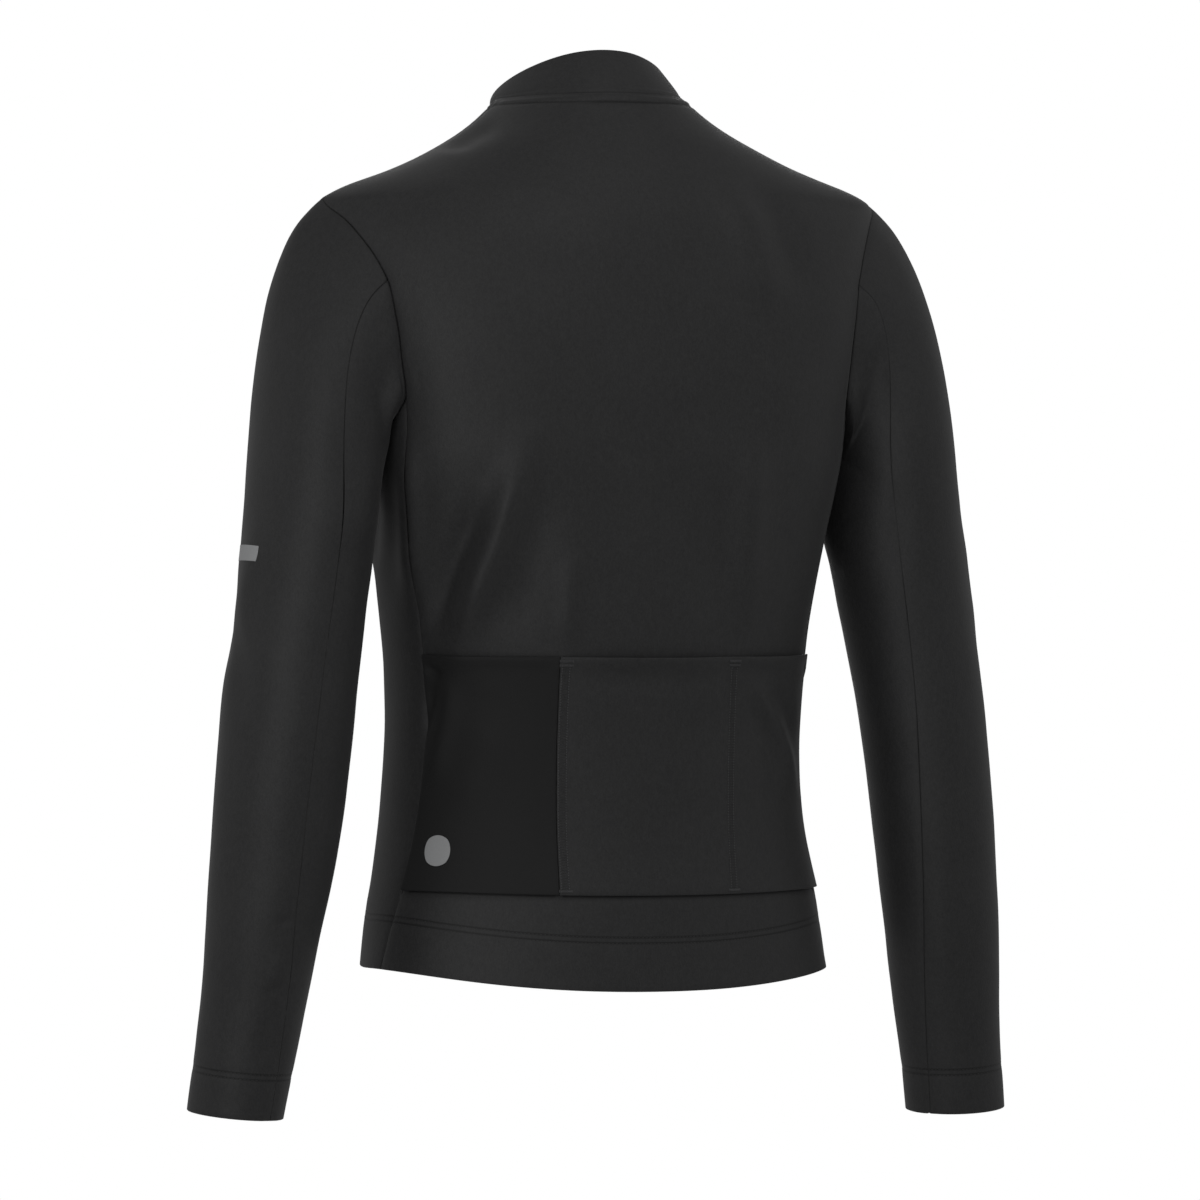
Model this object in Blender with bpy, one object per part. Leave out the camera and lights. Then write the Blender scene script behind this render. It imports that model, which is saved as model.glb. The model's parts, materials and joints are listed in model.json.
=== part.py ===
"""Long-sleeved cycling jacket, filled out as if worn, with nobody in it.

Metres, +Z up. The wearer faces -Y, so the back of the jacket faces +Y and the wearer's left is +X.
The origin is the middle of the neck opening, level with the side neck points where the shoulder seams
meet the collar: the jacket hangs from there.

Every cloth piece starts as a patch of points on the outside of the garment. The patches share their seam
points, so one set of normals serves them all. cloth_wall() then pulls each patch back from its seams by
half of the seam gap and gives it its thickness inwards.
"""

import math

import bmesh
import bpy
from mathutils import Matrix, Vector

MM = 0.001

# ---------------------------------------------------------------- driving sizes, in millimetres
CLOTH = 1.5  # brushed jersey of the body and sleeves
HEM_CLOTH = 2.7  # the same jersey folded double at the hem and cuffs
COLLAR_CLOTH = 2.3  # collar, two layers
POCKET_CLOTH = 1.4
TAPE_CLOTH = 1.0
SEAM_GAP = 0.34  # between two pieces along a seam
MITRE_LIMIT = 1.3  # a wall grows by no more than this factor where pieces meet at an angle

ZIP_OPENING = 12.0  # between the two front edges
NECK_BAND_RISE = 0.9  # the neck seam's allowance, stitched down on the body, raises the cloth there

# ---------------------------------------------------------------- the body, a row for each section
# name, heights at the side, centre back and centre front, the half width, how far the back and front
# lie from the widest line, that line's own y, how square the back and front are (2 is an ellipse), the
# y of the seam that ends the back piece, the y of the line that ends the front of the front piece, and
# the number of mesh rows up to the next section
BODY_COLUMNS = (
    "name", "side_z", "back_z", "front_z", "half_width", "back_depth", "front_depth", "middle_y",
    "back_square", "front_square", "back_edge_y", "front_edge_y", "rows",
)  # fmt: skip
BODY = (
    ("hem edge", -626, -642, -602, 176.0, 113, 108, -1, 2.15, 2.30, 19, -60, 1),
    ("hem stitching", -592, -606, -570, 172.0, 112, 106, -3, 2.05, 2.25, 25, -60, 1),
    ("pocket bottom", -569, -573, -556, 168.0, 110, 105, -4, 2.05, 2.20, 29, -60, 2),
    ("seat", -515, -515, -510, 160.0, 107, 102, -6, 2.00, 2.15, 32, -60, 2),
    ("waist", -455, -455, -452, 157.0, 106, 101, -4, 2.05, 2.10, 38, -60, 2),
    ("pocket mouth", -398, -400, -396, 159.5, 109, 104, -1, 2.10, 2.10, 40, -60, 2),
    ("ribs", -345, -346, -344, 165.0, 112, 107, 0, 2.35, 2.20, 45, -60, 2),
    ("chest", -295, -295, -297, 172.5, 115, 110, 0, 2.70, 2.50, 55, -60, 2),
    ("under arm", -255, -253, -262, 179.0, 117, 112, 0, 3.00, 2.75, 63, -60, 2),
    ("armhole foot", -215, -211, -228, 184.0, 117, 113, 0, 3.00, 2.65, 67, -62, 2),
    ("shoulder blade", -172, -167, -193, 193.0, 115, 113, 0, 2.85, 2.45, 68, -66, 3),
    ("sleeve notch", -131, -122, -160, 206.5, 111, 112, 0, 2.40, 2.15, 62, -58, 2),
    ("shoulder cap", -101, -89, -137, 214.0, 106, 110, 0, 2.05, 1.95, 44, -42, 2),
    ("shoulder edge", -82, -70, -123, 217.0, 99, 110.5, 2, 1.78, 1.80, 26, -22, 2),
    ("shoulder point", -67.5, -56, -113, 213.0, 91.5, 111, 4, 1.60, 1.66, 4, 4, 1),
    ("shoulder", -58.5, -47, -105, 193.0, 89.5, 107, 1, 1.62, 1.62, 0, 0, 1),
    ("yoke", -48, -36, -96, 163.0, 85, 102.5, -2, 1.75, 1.68, -5, -5, 1),
    ("neck root", -33, -21, -85, 128.5, 79, 96, -6, 1.90, 1.85, -9, -9, 1),
    ("neck slope", -16, -8, -73, 97.5, 73.5, 89, -10, 2.00, 1.95, -12, -12, 1),
    ("neck band foot", -1, 3.5, -64, 78.0, 70, 82.5, -13, 2.00, 2.00, -14, -14, 1),
    ("neck seam", 6.5, 9.5, -59, 69.0, 70, 77, -16, 2.00, 2.00, -15, -15, 0),
)  # fmt: skip

DIVIDER_X = {1: 65.0, -1: 70.0}  # the left and the right pocket divider
DIVIDER_COLUMN = 3  # mesh columns from the centre back to a divider
BACK_COLUMNS = 8  # and to the edge of the back piece
FRONT_COLUMNS = 8  # from the zip to the line above the armhole's front edge
SIDE_COLUMNS = 6  # from that line round under the arm to the side seam
UNDERARM_DIP = 28.0  # how far the armhole's bottom hangs under its front and back edges
UNDERARM_ROWS = 5  # body rows that share that dip

# ---------------------------------------------------------------- the sleeves, a row for each ring
# height, distance out and back of the ring's centre, its half widths outwards and backwards, how far
# its plane is turned up on the outside, the angle of the back and front seams measured from straight
# out over the back, and the number of mesh rows up to the next ring
SLEEVE_COLUMNS = (
    "z", "out", "back", "half_out", "half_back", "turned_up", "back_seam", "front_seam", "rows",
)  # fmt: skip
LEFT_SLEEVE = (
    (-265, 225.0, 15, 45.0, 62, 14, 93, 232, 2),
    (-310, 228.5, 18, 46.5, 58, 7, 96, 230, 2),
    (-359, 235.5, 21, 47.0, 54, 3, 98, 229, 2),
    (-432, 246, 25.5, 48.0, 52, 0, 97, 228, 2),  # elbow
    (-505, 254, 27, 47.3, 49, 0, 96, 230, 3),
    (-578, 262.4, 24, 42.7, 44.5, 0, 100, 232, 3),
    (-651, 271, 17, 37.7, 39.0, -1, 110, 234, 2),
    (-700, 277, 12, 35.8, 36.8, -4, 114, 235, 1),  # cuff stitching
    (-730, 281, 9, 35.0, 36.0, -4, 115, 235, 0),  # cuff edge
)
RIGHT_SLEEVE = (
    (-265, 226.5, 15, 46.0, 62, 14, 118, 232, 2),
    (-310, 229.5, 18, 47.5, 58, 7, 115, 231, 2),
    (-359, 235.0, 21, 47.5, 54, 3, 114, 233, 2),
    (-432, 246, 25.5, 45.5, 51, 0, 119, 236, 2),  # elbow
    (-505, 254, 26.5, 44.5, 49, 0, 124, 240, 3),
    (-578, 262.2, 24, 42.5, 45.5, 0, 130, 243, 3),
    (-651, 270.6, 17, 39.0, 41, -1, 137, 246, 2),
    (-703, 277, 12, 37.0, 38, -4, 141, 248, 1),  # cuff stitching
    (-733, 281, 9, 36.3, 37, -4, 143, 249, 0),  # cuff edge
)
CAP_ROWS = 7  # from the armhole to the first ring
NOTCH_VERTEX = 6  # places round the sleeve, counted from the shoulder point over the back
FRONT_SEAM_VERTEX = 18
TOP_ANGLE = 6.0  # of the place that meets the shoulder point, measured as the seams are
CAP_OUT = 0.80  # the direction in which the sleeve leaves the armhole
CAP_DOWN_TOP = 0.62
CAP_DOWN_BOTTOM = 0.30
CAP_SPREAD = 0.06
CAP_FULLNESS = 1.0
CAP_EASE = 0.55  # share of the fullness kept where the sleeve turns sharply out of the armhole

# ---------------------------------------------------------------- collar
COLLAR_ROWS = 4
COLLAR_TOP_MIDDLE = (0.0, -35.5, 11.0)
COLLAR_TOP_HALF_WIDTH = 64.5
COLLAR_TOP_HALF_DEPTH = 65.0  # seen from above
COLLAR_TOP_SLOPE = 0.36  # rises this much for each unit towards the back
COLLAR_BACK_LIFT = 7.0  # and the centre back rises this much more
COLLAR_SIDE_LEAN = 0.035  # the left side stands this much higher for each unit outwards
COLLAR_BULGE = 0.6

# ---------------------------------------------------------------- pockets
POCKET_CLEARANCE = 0.4  # between the pocket cloth and the back where they are sewn together
POCKET_GAPE = 2.4  # how far the mouth stands off midway between two seams
POCKET_BAG = 1.0  # how far the pocket stands off midway down
POCKET_FOOT = 0.9  # the turned seam at the foot stands this much prouder

# ---------------------------------------------------------------- zip
CHAIN_WIDTH = 4.6
CHAIN_THICKNESS = 2.4
CHAIN_RISE = 0.9  # the chain's top above the tapes
CHAIN_BEVEL = 0.6
CHAIN_START = 9.0  # above the hem, over the box
BOX_SIZE = (7.0, 3.4, 7.5)  # wide, thick and high
SLIDER_BELOW_TOP = 9.0  # the slider's middle under the collar's edge
SLIDER_LENGTH = 10.0
SLIDER_WIDTH = 7.6
PLATE_THICKNESS = 1.2
PLATE_CLEARANCE = 0.45  # between the slider's plates and the chain or tape
POST_LENGTH = 2.0
POST_WIDTH = 1.8
ARCH_LENGTH = 6.4
ARCH_WIDTH = 1.6
ARCH_HEIGHT = 3.2
ARCH_WALL = 0.9
PULL_AXIS_HEIGHT = 1.3  # above the slider's upper plate
PULL_THICKNESS = 1.1
PULL_WIDTH = 5.0
PULL_LENGTH = 21.0
PULL_SLOT = (2.6, 4.3)  # width and length of the slot that takes the arch

COLOURS = {
    "jersey": ((0.021, 0.021, 0.022), 0.85),
    "smooth": ((0.010, 0.010, 0.010), 0.55),
    "tape": ((0.016, 0.016, 0.017), 0.80),
    "coil": ((0.014, 0.014, 0.015), 0.45),
    "metal": ((0.030, 0.030, 0.032), 0.35),
}


# ================================================================ small helpers
def column(columns, name):
    return columns.index(name)


def smooth_value(table, columns, name, place):
    """The named column of a table at a fractional row, on a smooth curve through the rows."""
    index = column(columns, name)
    last = len(table) - 1
    low = min(max(int(math.floor(place)), 0), last - 1)
    share = place - low
    before, start, end, after = (table[min(max(low + step, 0), last)][index] for step in (-1, 0, 1, 2))
    leaving = (end - before) / 2 if low > 0 else end - start
    arriving = (after - start) / 2 if low + 2 <= last else end - start
    if (end - start) * leaving <= 0:
        leaving = 0.0
    if (end - start) * arriving <= 0:
        arriving = 0.0
    return hermite(start, leaving, end, arriving, share)


def hermite(start, leaving, end, arriving, share):
    square, cube = share * share, share**3
    return (
        start * (2 * cube - 3 * square + 1)
        + leaving * (cube - 2 * square + share)
        + end * (3 * square - 2 * cube)
        + arriving * (cube - square)
    )


def mesh_places(table, columns):
    """The fractional rows of a table at which the mesh has its rows."""
    places = []
    for index, row in enumerate(table):
        steps = row[column(columns, "rows")]
        places += [index + step / steps for step in range(steps)]
    return places + [len(table) - 1]


# ================================================================ the body's surface
class Section:
    """One closed section of the body, measured along its left half from the centre back."""

    SAMPLES = 240

    def __init__(self, place):
        for name in BODY_COLUMNS[1:-1]:
            setattr(self, name, smooth_value(BODY, BODY_COLUMNS, name, place))
        self.line = [self.point(math.pi * step / self.SAMPLES) for step in range(self.SAMPLES + 1)]
        self.length = [0.0]
        for first, second in zip(self.line, self.line[1:]):
            self.length.append(self.length[-1] + (second - first).length)

    def point(self, turn):
        """The point at an angle from the centre back, round the left side to the centre front."""
        towards_back = math.cos(turn)
        back = towards_back > 0
        square = self.back_square if back else self.front_square
        depth = self.back_depth if back else -self.front_depth
        end_z = self.back_z if back else self.front_z
        x = self.half_width * max(math.sin(turn), 0.0) ** (2 / square)
        y = self.middle_y + depth * abs(towards_back) ** (2 / square)
        z = self.side_z + (end_z - self.side_z) * towards_back**2
        return Vector((x, y, z))

    def at_length(self, length):
        for step in range(self.SAMPLES):
            if self.length[step + 1] >= length:
                break
        span = self.length[step + 1] - self.length[step]
        return self.line[step].lerp(self.line[step + 1], (length - self.length[step]) / span)

    def length_at_y(self, y):
        """How far round the section first comes as far forward as y."""
        for step in range(self.SAMPLES):
            if self.line[step + 1].y <= y:
                break
        first, second = self.line[step], self.line[step + 1]
        share = (first.y - y) / (first.y - second.y)
        return self.length[step] + share * (self.length[step + 1] - self.length[step])

    def length_at_x(self, x):
        """How far round the back the section first comes as far out as x."""
        for step in range(self.SAMPLES):
            if self.line[step + 1].x >= x:
                break
        first, second = self.line[step], self.line[step + 1]
        share = (x - first.x) / (second.x - first.x)
        return self.length[step] + share * (self.length[step + 1] - self.length[step])

    def length_at_zip(self):
        """How far round the front edge beside the zip lies."""
        half = ZIP_OPENING / 2
        for step in range(self.SAMPLES - 1, 0, -1):
            if self.line[step].x >= half:
                break
        first, second = self.line[step], self.line[step + 1]
        share = (first.x - half) / (first.x - second.x)
        return self.length[step] + share * (self.length[step + 1] - self.length[step])


SECTIONS = {}


def section(place):
    key = round(place, 6)
    if key not in SECTIONS:
        SECTIONS[key] = Section(place)
    return SECTIONS[key]


def back_point(place, share):
    """A point of the back: share 0 is the centre back, 1 the left edge and -1 the right edge."""
    here = section(place)
    point = here.at_length(abs(share) * here.length_at_y(here.back_edge_y))
    return Vector((math.copysign(point.x, share) if share else 0.0, point.y, point.z))


def front_point(place, share):
    """A point between the zip (0) and the line above the armhole's front edge (1)."""
    here = section(place)
    start, end = here.length_at_zip(), here.length_at_y(here.front_edge_y)
    return here.at_length(start + (end - start) * share)


def side_point(place, share):
    """A point between that line (0) and the side seam (1), under the arm."""
    here = section(place)
    start, end = here.length_at_y(here.front_edge_y), here.length_at_y(here.back_edge_y)
    return here.at_length(start + (end - start) * share)


BODY_PLACES = mesh_places(BODY, BODY_COLUMNS)


def section_number(name):
    return [row[0] for row in BODY].index(name)


def row_of(name):
    return BODY_PLACES.index(section_number(name))


HEM_ROW = row_of("hem stitching")
ARMHOLE_ROW = row_of("armhole foot")
SHOULDER_ROW = row_of("shoulder point")
NECK_ROW = row_of("neck seam")


def underarm_place(row, share):
    """The fractional section of a point in the strip under the arm, whose top is the armhole's bottom."""
    rows_down = ARMHOLE_ROW - row
    if rows_down >= UNDERARM_ROWS:
        return BODY_PLACES[row]
    across = 2 * share - 1
    hang = UNDERARM_DIP * math.sqrt(max(1 - across * across, 0.0)) * (1 - rows_down / UNDERARM_ROWS) ** 1.5
    top = section_number("armhole foot")
    section_height = BODY[top][1] - BODY[top - 1][1]
    return BODY_PLACES[row] - hang / section_height


# ================================================================ patches
class Patch:
    """The outside of one piece of cloth: its points, its four-sided faces, and its wall at each point."""

    def __init__(self, name, colour):
        self.name = name
        self.colour = colour
        self.points = []
        self.index = {}
        self.faces = []
        self.wall = []
        self.rise = []

    def add(self, point, wall, rise=0.0):
        key = key_of(point)
        if key not in self.index:
            self.index[key] = len(self.points)
            self.points.append(point.copy())
            self.wall.append(wall)
            self.rise.append(rise)
        return self.index[key]

    def grid(self, rows, outwards_first, wall, rise=lambda row: 0.0):
        """Adds rows of points, joined to a net. wall and rise are read for each row."""
        numbers = [[self.add(point, wall(r), rise(r)) for point in row] for r, row in enumerate(rows)]
        for low, high in zip(numbers, numbers[1:]):
            for here in range(len(low) - 1):
                face = [low[here], low[here + 1], high[here + 1], high[here]]
                self.faces.append(face if outwards_first else face[::-1])


def key_of(point):
    return tuple(round(value, 4) for value in point)


def mirrored(rows):
    return [[Vector((-p.x, p.y, p.z)) for p in row] for row in rows]


def body_wall(row):
    """The hem is folded double up to its stitching."""
    return HEM_CLOTH if row <= HEM_ROW else CLOTH


def band_rise(row):
    return NECK_BAND_RISE if row == NECK_ROW else 0.0


def back_shares(place, side):
    """The mesh columns' shares on one side; under the pocket mouths the fourth keeps the divider's x."""
    here = section(min(place, section_number("pocket mouth")))
    divider = here.length_at_x(DIVIDER_X[side]) / here.length_at_y(here.back_edge_y)
    near = [divider * step / DIVIDER_COLUMN for step in range(DIVIDER_COLUMN + 1)]
    beyond = BACK_COLUMNS - DIVIDER_COLUMN
    return near + [divider + (1 - divider) * (step + 1) / beyond for step in range(beyond)]


def back_rows():
    rows = []
    for place in BODY_PLACES:
        shares = [-share for share in reversed(back_shares(place, -1)[1:])] + back_shares(place, 1)
        rows.append([back_point(place, share) for share in shares])
    return rows


def front_rows():
    shares = [step / FRONT_COLUMNS for step in range(FRONT_COLUMNS + 1)]
    return [[front_point(place, share) for share in shares] for place in BODY_PLACES]


def side_rows():
    shares = [step / SIDE_COLUMNS for step in range(SIDE_COLUMNS + 1)]
    return [
        [side_point(underarm_place(row, share), share) for share in shares]
        for row in range(ARMHOLE_ROW + 1)
    ]


def armhole_loop(back, front, side):
    """The left armhole's points from the shoulder point down the back, under the arm and up the front."""
    down_back = [back[row][-1] for row in range(SHOULDER_ROW, ARMHOLE_ROW, -1)]
    under = list(reversed(side[ARMHOLE_ROW]))
    up_front = [front[row][-1] for row in range(ARMHOLE_ROW + 1, SHOULDER_ROW)]
    return down_back + under + up_front


# ================================================================ sleeves
def sleeve_ring(table, place, count):
    """The points of one ring, from the place nearest the shoulder point's line over the back."""
    value = {name: smooth_value(table, SLEEVE_COLUMNS, name, place) for name in SLEEVE_COLUMNS[:-1]}
    centre = Vector((value["out"], value["back"], value["z"]))
    step = 0.05
    last = len(table) - 1
    above, below = max(place - step, 0), min(place + step, last)
    axes = ("out", "back", "z")
    upper = Vector([smooth_value(table, SLEEVE_COLUMNS, name, above) for name in axes])
    lower = Vector([smooth_value(table, SLEEVE_COLUMNS, name, below) for name in axes])
    along = (lower - upper).normalized()
    outwards = (Vector((1, 0, 0)) - along * along.x).normalized()
    backwards = outwards.cross(along)
    lift = math.tan(math.radians(value["turned_up"]))
    points = []
    for number in range(count):
        turn = math.radians(ring_angle(number, count, value["back_seam"], value["front_seam"]))
        reach = value["half_out"] * math.cos(turn)
        points.append(
            centre + outwards * reach + backwards * value["half_back"] * math.sin(turn) - along * lift * reach
        )
    return points


def ring_angle(number, count, back_seam, front_seam):
    """The angle of a place round the sleeve. The two seams have theirs, and the rest share what is left."""
    anchors = (0, NOTCH_VERTEX, FRONT_SEAM_VERTEX, count)
    angles = (TOP_ANGLE, back_seam, front_seam, 360 + TOP_ANGLE)
    for low in range(3):
        if anchors[low] <= number <= anchors[low + 1]:
            share = (number - anchors[low]) / (anchors[low + 1] - anchors[low])
            return angles[low] + (angles[low + 1] - angles[low]) * share
    return TOP_ANGLE


def sleeve_rings(table, armhole):
    """All rings of a left-hand sleeve, from the armhole to the cuff."""
    count = len(armhole)
    first = sleeve_ring(table, 0, count)
    second = sleeve_ring(table, 0.05, count)
    middle = sum(armhole, Vector()) / count
    rings = [armhole]
    for row in range(1, CAP_ROWS):
        share = row / CAP_ROWS
        ring = []
        for start, end, beyond in zip(armhole, first, second):
            away = (start - middle).normalized()
            raised = (away.z + 1) / 2
            down = CAP_DOWN_BOTTOM + (CAP_DOWN_TOP - CAP_DOWN_BOTTOM) * raised
            leaves = Vector((CAP_OUT, away.y * CAP_SPREAD, -down))
            leaves.normalize()
            reach = (end - start).length * CAP_FULLNESS
            ease = CAP_EASE + (1 - CAP_EASE) * leaves.dot((end - start).normalized())
            leaving = leaves * reach * ease
            arriving = (beyond - end).normalized() * reach
            ring.append(Vector([hermite(*values, share) for values in zip(start, leaving, end, arriving)]))
        rings.append(ring)
    for place in mesh_places(table, SLEEVE_COLUMNS):
        rings.append(sleeve_ring(table, place, count))
    return rings


def sleeve_patches(side_name, table, armhole, flip):
    """The top and under pieces of one sleeve, as patches."""
    rings = sleeve_rings(table, armhole)
    count = len(armhole)
    under = [ring[NOTCH_VERTEX : FRONT_SEAM_VERTEX + 1] for ring in rings]
    top_places = [n % count for n in range(FRONT_SEAM_VERTEX, count + NOTCH_VERTEX + 1)]
    top = [[ring[number] for number in top_places] for ring in rings]
    hem_rows = table[-2][column(SLEEVE_COLUMNS, "rows")]
    hem_start = len(rings) - 1 - hem_rows
    patches = []
    for name, rows in (("sleeve_under", under), ("sleeve_top", top)):
        patch = Patch(f"{name}_{side_name}", "jersey")
        if flip:
            rows = mirrored(rows)
        patch.grid(rows, flip, lambda row: HEM_CLOTH if row >= hem_start else CLOTH)
        patches.append(patch)
    return patches


# ================================================================ collar
def collar_rows(neck_line):
    """Rows from the neck seam to the collar's edge. neck_line runs from the left front over the back."""
    length = [0.0]
    for first, second in zip(neck_line, neck_line[1:]):
        length.append(length[-1] + (second - first).length)
    half_gap = math.asin(ZIP_OPENING / 2 / COLLAR_TOP_HALF_WIDTH)
    top = []
    for here in length:
        turn = half_gap + (2 * math.pi - 2 * half_gap) * here / length[-1]
        x = COLLAR_TOP_HALF_WIDTH * math.sin(turn)
        y = -COLLAR_TOP_HALF_DEPTH * math.cos(turn)
        lift = COLLAR_BACK_LIFT * max(-math.cos(turn), 0.0) ** 2 + COLLAR_SIDE_LEAN * x
        top.append(Vector(COLLAR_TOP_MIDDLE) + Vector((x, y, COLLAR_TOP_SLOPE * y + lift)))
    rows = []
    for step in range(COLLAR_ROWS + 1):
        share = step / COLLAR_ROWS
        bulge = COLLAR_BULGE * math.sin(math.pi * share)
        row = []
        for low, high in zip(neck_line, top):
            outwards = Vector((high.x, high.y - COLLAR_TOP_MIDDLE[1], 0)).normalized()
            row.append(low.lerp(high, share) + outwards * bulge)
        row[0].x, row[-1].x = ZIP_OPENING / 2, -ZIP_OPENING / 2
        rows.append(row)
    return rows


# ================================================================ walls
def shared_normals(patches):
    """The mean normal at each point over all patches, and how much a wall grows there to stay as thick."""
    sums, parts = {}, {}
    for patch in patches:
        for face in patch.faces:
            corners = [patch.points[number] for number in face]
            facing = (corners[2] - corners[0]).cross(corners[3] - corners[1]).normalized()
            for corner in corners:
                key = key_of(corner)
                sums[key] = sums.get(key, Vector()) + facing
                parts.setdefault(key, []).append(facing)
    normals = {}
    for key, total in sums.items():
        normal = total.normalized()
        lean = sum(normal.dot(part) for part in parts[key]) / len(parts[key])
        normals[key] = (normal, min(MITRE_LIMIT, 1 / max(lean, 0.1)))
    return normals


def edge_steps(patch, normals):
    """How far each edge point of a patch moves back from its seam, as a vector for a gap of one."""
    once = {}
    for face in patch.faces:
        for first, second in zip(face, face[1:] + face[:1]):
            once[(first, second)] = (second, first) not in once
            if not once[(first, second)]:
                del once[(first, second)], once[(second, first)]
    inwards = {}
    for first, second in once:
        along = patch.points[second] - patch.points[first]
        for number in (first, second):
            normal = normals[key_of(patch.points[number])][0]
            inwards.setdefault(number, []).append(normal.cross(along).normalized())
    steps = {}
    for number, found in inwards.items():
        total = sum(found, Vector())
        steps[number] = total / max(total.length_squared / 2, 0.5)
    return list(once), steps


def cloth_wall(patch, normals, gap=SEAM_GAP):
    """Makes the solid piece of cloth, and returns its outer points and normals."""
    border, steps = edge_steps(patch, normals)
    outer, inner, directions = [], [], []
    for number, point in enumerate(patch.points):
        normal, growth = normals[key_of(point)]
        place = point + steps.get(number, Vector()) * gap / 2
        outer.append(place + normal * patch.rise[number])
        inner.append(place - normal * patch.wall[number] * growth)
        directions.append(normal)
    make_shell(patch.name, outer, inner, patch.faces, border, patch.colour)
    return outer, directions


def make_shell(name, outer, inner, faces, border, colour):
    """An object from an outer and an inner net and the border that joins them.

    Both nets are split along the same diagonals, so the wall keeps its thickness where a face is not flat.
    """
    count = len(outer)
    split = []
    for a, b, c, d in faces:
        if (outer[a] - outer[c]).length <= (outer[b] - outer[d]).length:
            split += [(a, b, c), (a, c, d)]
        else:
            split += [(a, b, d), (b, c, d)]
    shell = split + [tuple(number + count for number in reversed(face)) for face in split]
    for first, second in border:
        if rank(outer[first]) < rank(outer[second]):
            shell += [(second, first, second + count), (first, first + count, second + count)]
        else:
            shell += [(second, first, first + count), (second, first + count, second + count)]
    return make_object(name, outer + inner, shell, colour)


def rank(point):
    """Orders the ends of a seam's step, so that both pieces split the faces along it alike."""
    return point.z + 0.3 * point.y


def make_object(name, points, faces, colour):
    mesh = bpy.data.meshes.new(name)
    mesh.from_pydata([point * MM for point in points], [], faces)
    mesh.validate()
    mesh.shade_smooth()
    mesh.set_sharp_from_angle(angle=math.radians(50))
    mesh.materials.append(material(colour))
    made = bpy.data.objects.new(name, mesh)
    bpy.context.scene.collection.objects.link(made)
    return made


def material(colour):
    if colour in bpy.data.materials:
        return bpy.data.materials[colour]
    made = bpy.data.materials.new(colour)
    made.use_nodes = True
    shader = made.node_tree.nodes["Principled BSDF"]
    rgb, roughness = COLOURS[colour]
    shader.inputs["Base Color"].default_value = (*rgb, 1)
    shader.inputs["Roughness"].default_value = roughness
    shader.inputs["Metallic"].default_value = 0.0
    return made


# ================================================================ pockets
def pocket(name, outer, normals, columns, seams, colour):
    """A pocket piece made from the back's own points, moved out. seams are the columns sewn down."""
    width = 2 * BACK_COLUMNS + 1
    low, high = row_of("pocket bottom"), row_of("pocket mouth")
    rows = range(low, high + 1)
    inner_net, outer_net, faces, directions = [], [], [], {}
    for row in rows:
        up = (row - low) / (high - low)
        for number in columns:
            index = row * width + number
            fullness = POCKET_GAPE * up**3 + POCKET_BAG * math.sin(math.pi * up)
            stand = POCKET_CLEARANCE + slack(number, seams) * fullness
            foot = POCKET_FOOT if row == low else 0.0
            inner_net.append(outer[index] + normals[index] * stand)
            outer_net.append(outer[index] + normals[index] * (stand + POCKET_CLOTH + foot))
            directions[key_of(outer_net[-1])] = (normals[index], 1.0)
    across = len(columns)
    for row in range(len(rows) - 1):
        for here in range(across - 1):
            start = row * across + here
            faces.append((start, start + across, start + across + 1, start + 1))
    patch = Patch(name, colour)
    patch.points = outer_net
    patch.faces = [list(face) for face in faces]
    border, steps = edge_steps(patch, directions)
    for number, step in steps.items():
        outer_net[number] = outer_net[number] + step * SEAM_GAP / 2
        inner_net[number] = inner_net[number] + step * SEAM_GAP / 2
    return make_shell(name, outer_net, inner_net, faces, border, colour)


def slack(number, seams):
    """0 at the seams and 1 midway between the two nearest."""
    for first, second in zip(seams, seams[1:]):
        if first <= number <= second:
            return math.sin(math.pi * (number - first) / (second - first))
    return 0.0


# ================================================================ zip
def front_line(fronts, collar):
    """The zip's line up the centre front, with the surface's normal, from the hem to the collar's edge."""
    edge = [row[0] for row in fronts] + [row[0] for row in collar[1:]]
    line = [Vector((0, point.y, point.z)) for point in edge]
    normals = []
    for number, _ in enumerate(line):
        along = line[min(number + 1, len(line) - 1)] - line[max(number - 1, 0)]
        normals.append(Vector((0, -along.z, along.y)).normalized())
    return line, normals


def along_line(line, distance):
    """The point of the line at a distance from its start, and the line's direction there."""
    for first, second in zip(line, line[1:]):
        span = (second - first).length
        if distance <= span:
            return first.lerp(second, distance / span), (second - first).normalized()
        distance -= span
    return line[-1].copy(), (line[-1] - line[-2]).normalized()


def line_length(line):
    return sum((second - first).length for first, second in zip(line, line[1:]))


def tape(side, fronts, collar):
    """The zip's tape on one side, from the front edge to the chain."""
    edge = [row[0] for row in fronts] + [row[0] for row in collar[1:]]
    patch = Patch("zip_tape_left" if side > 0 else "zip_tape_right", "tape")
    inner_x = CHAIN_WIDTH / 2 + SEAM_GAP / 2
    rows = [[Vector((inner_x * side, p.y, p.z)), Vector((p.x * side, p.y, p.z))] for p in edge]
    patch.grid(rows, side > 0, lambda row: TAPE_CLOTH)
    return patch


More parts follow.
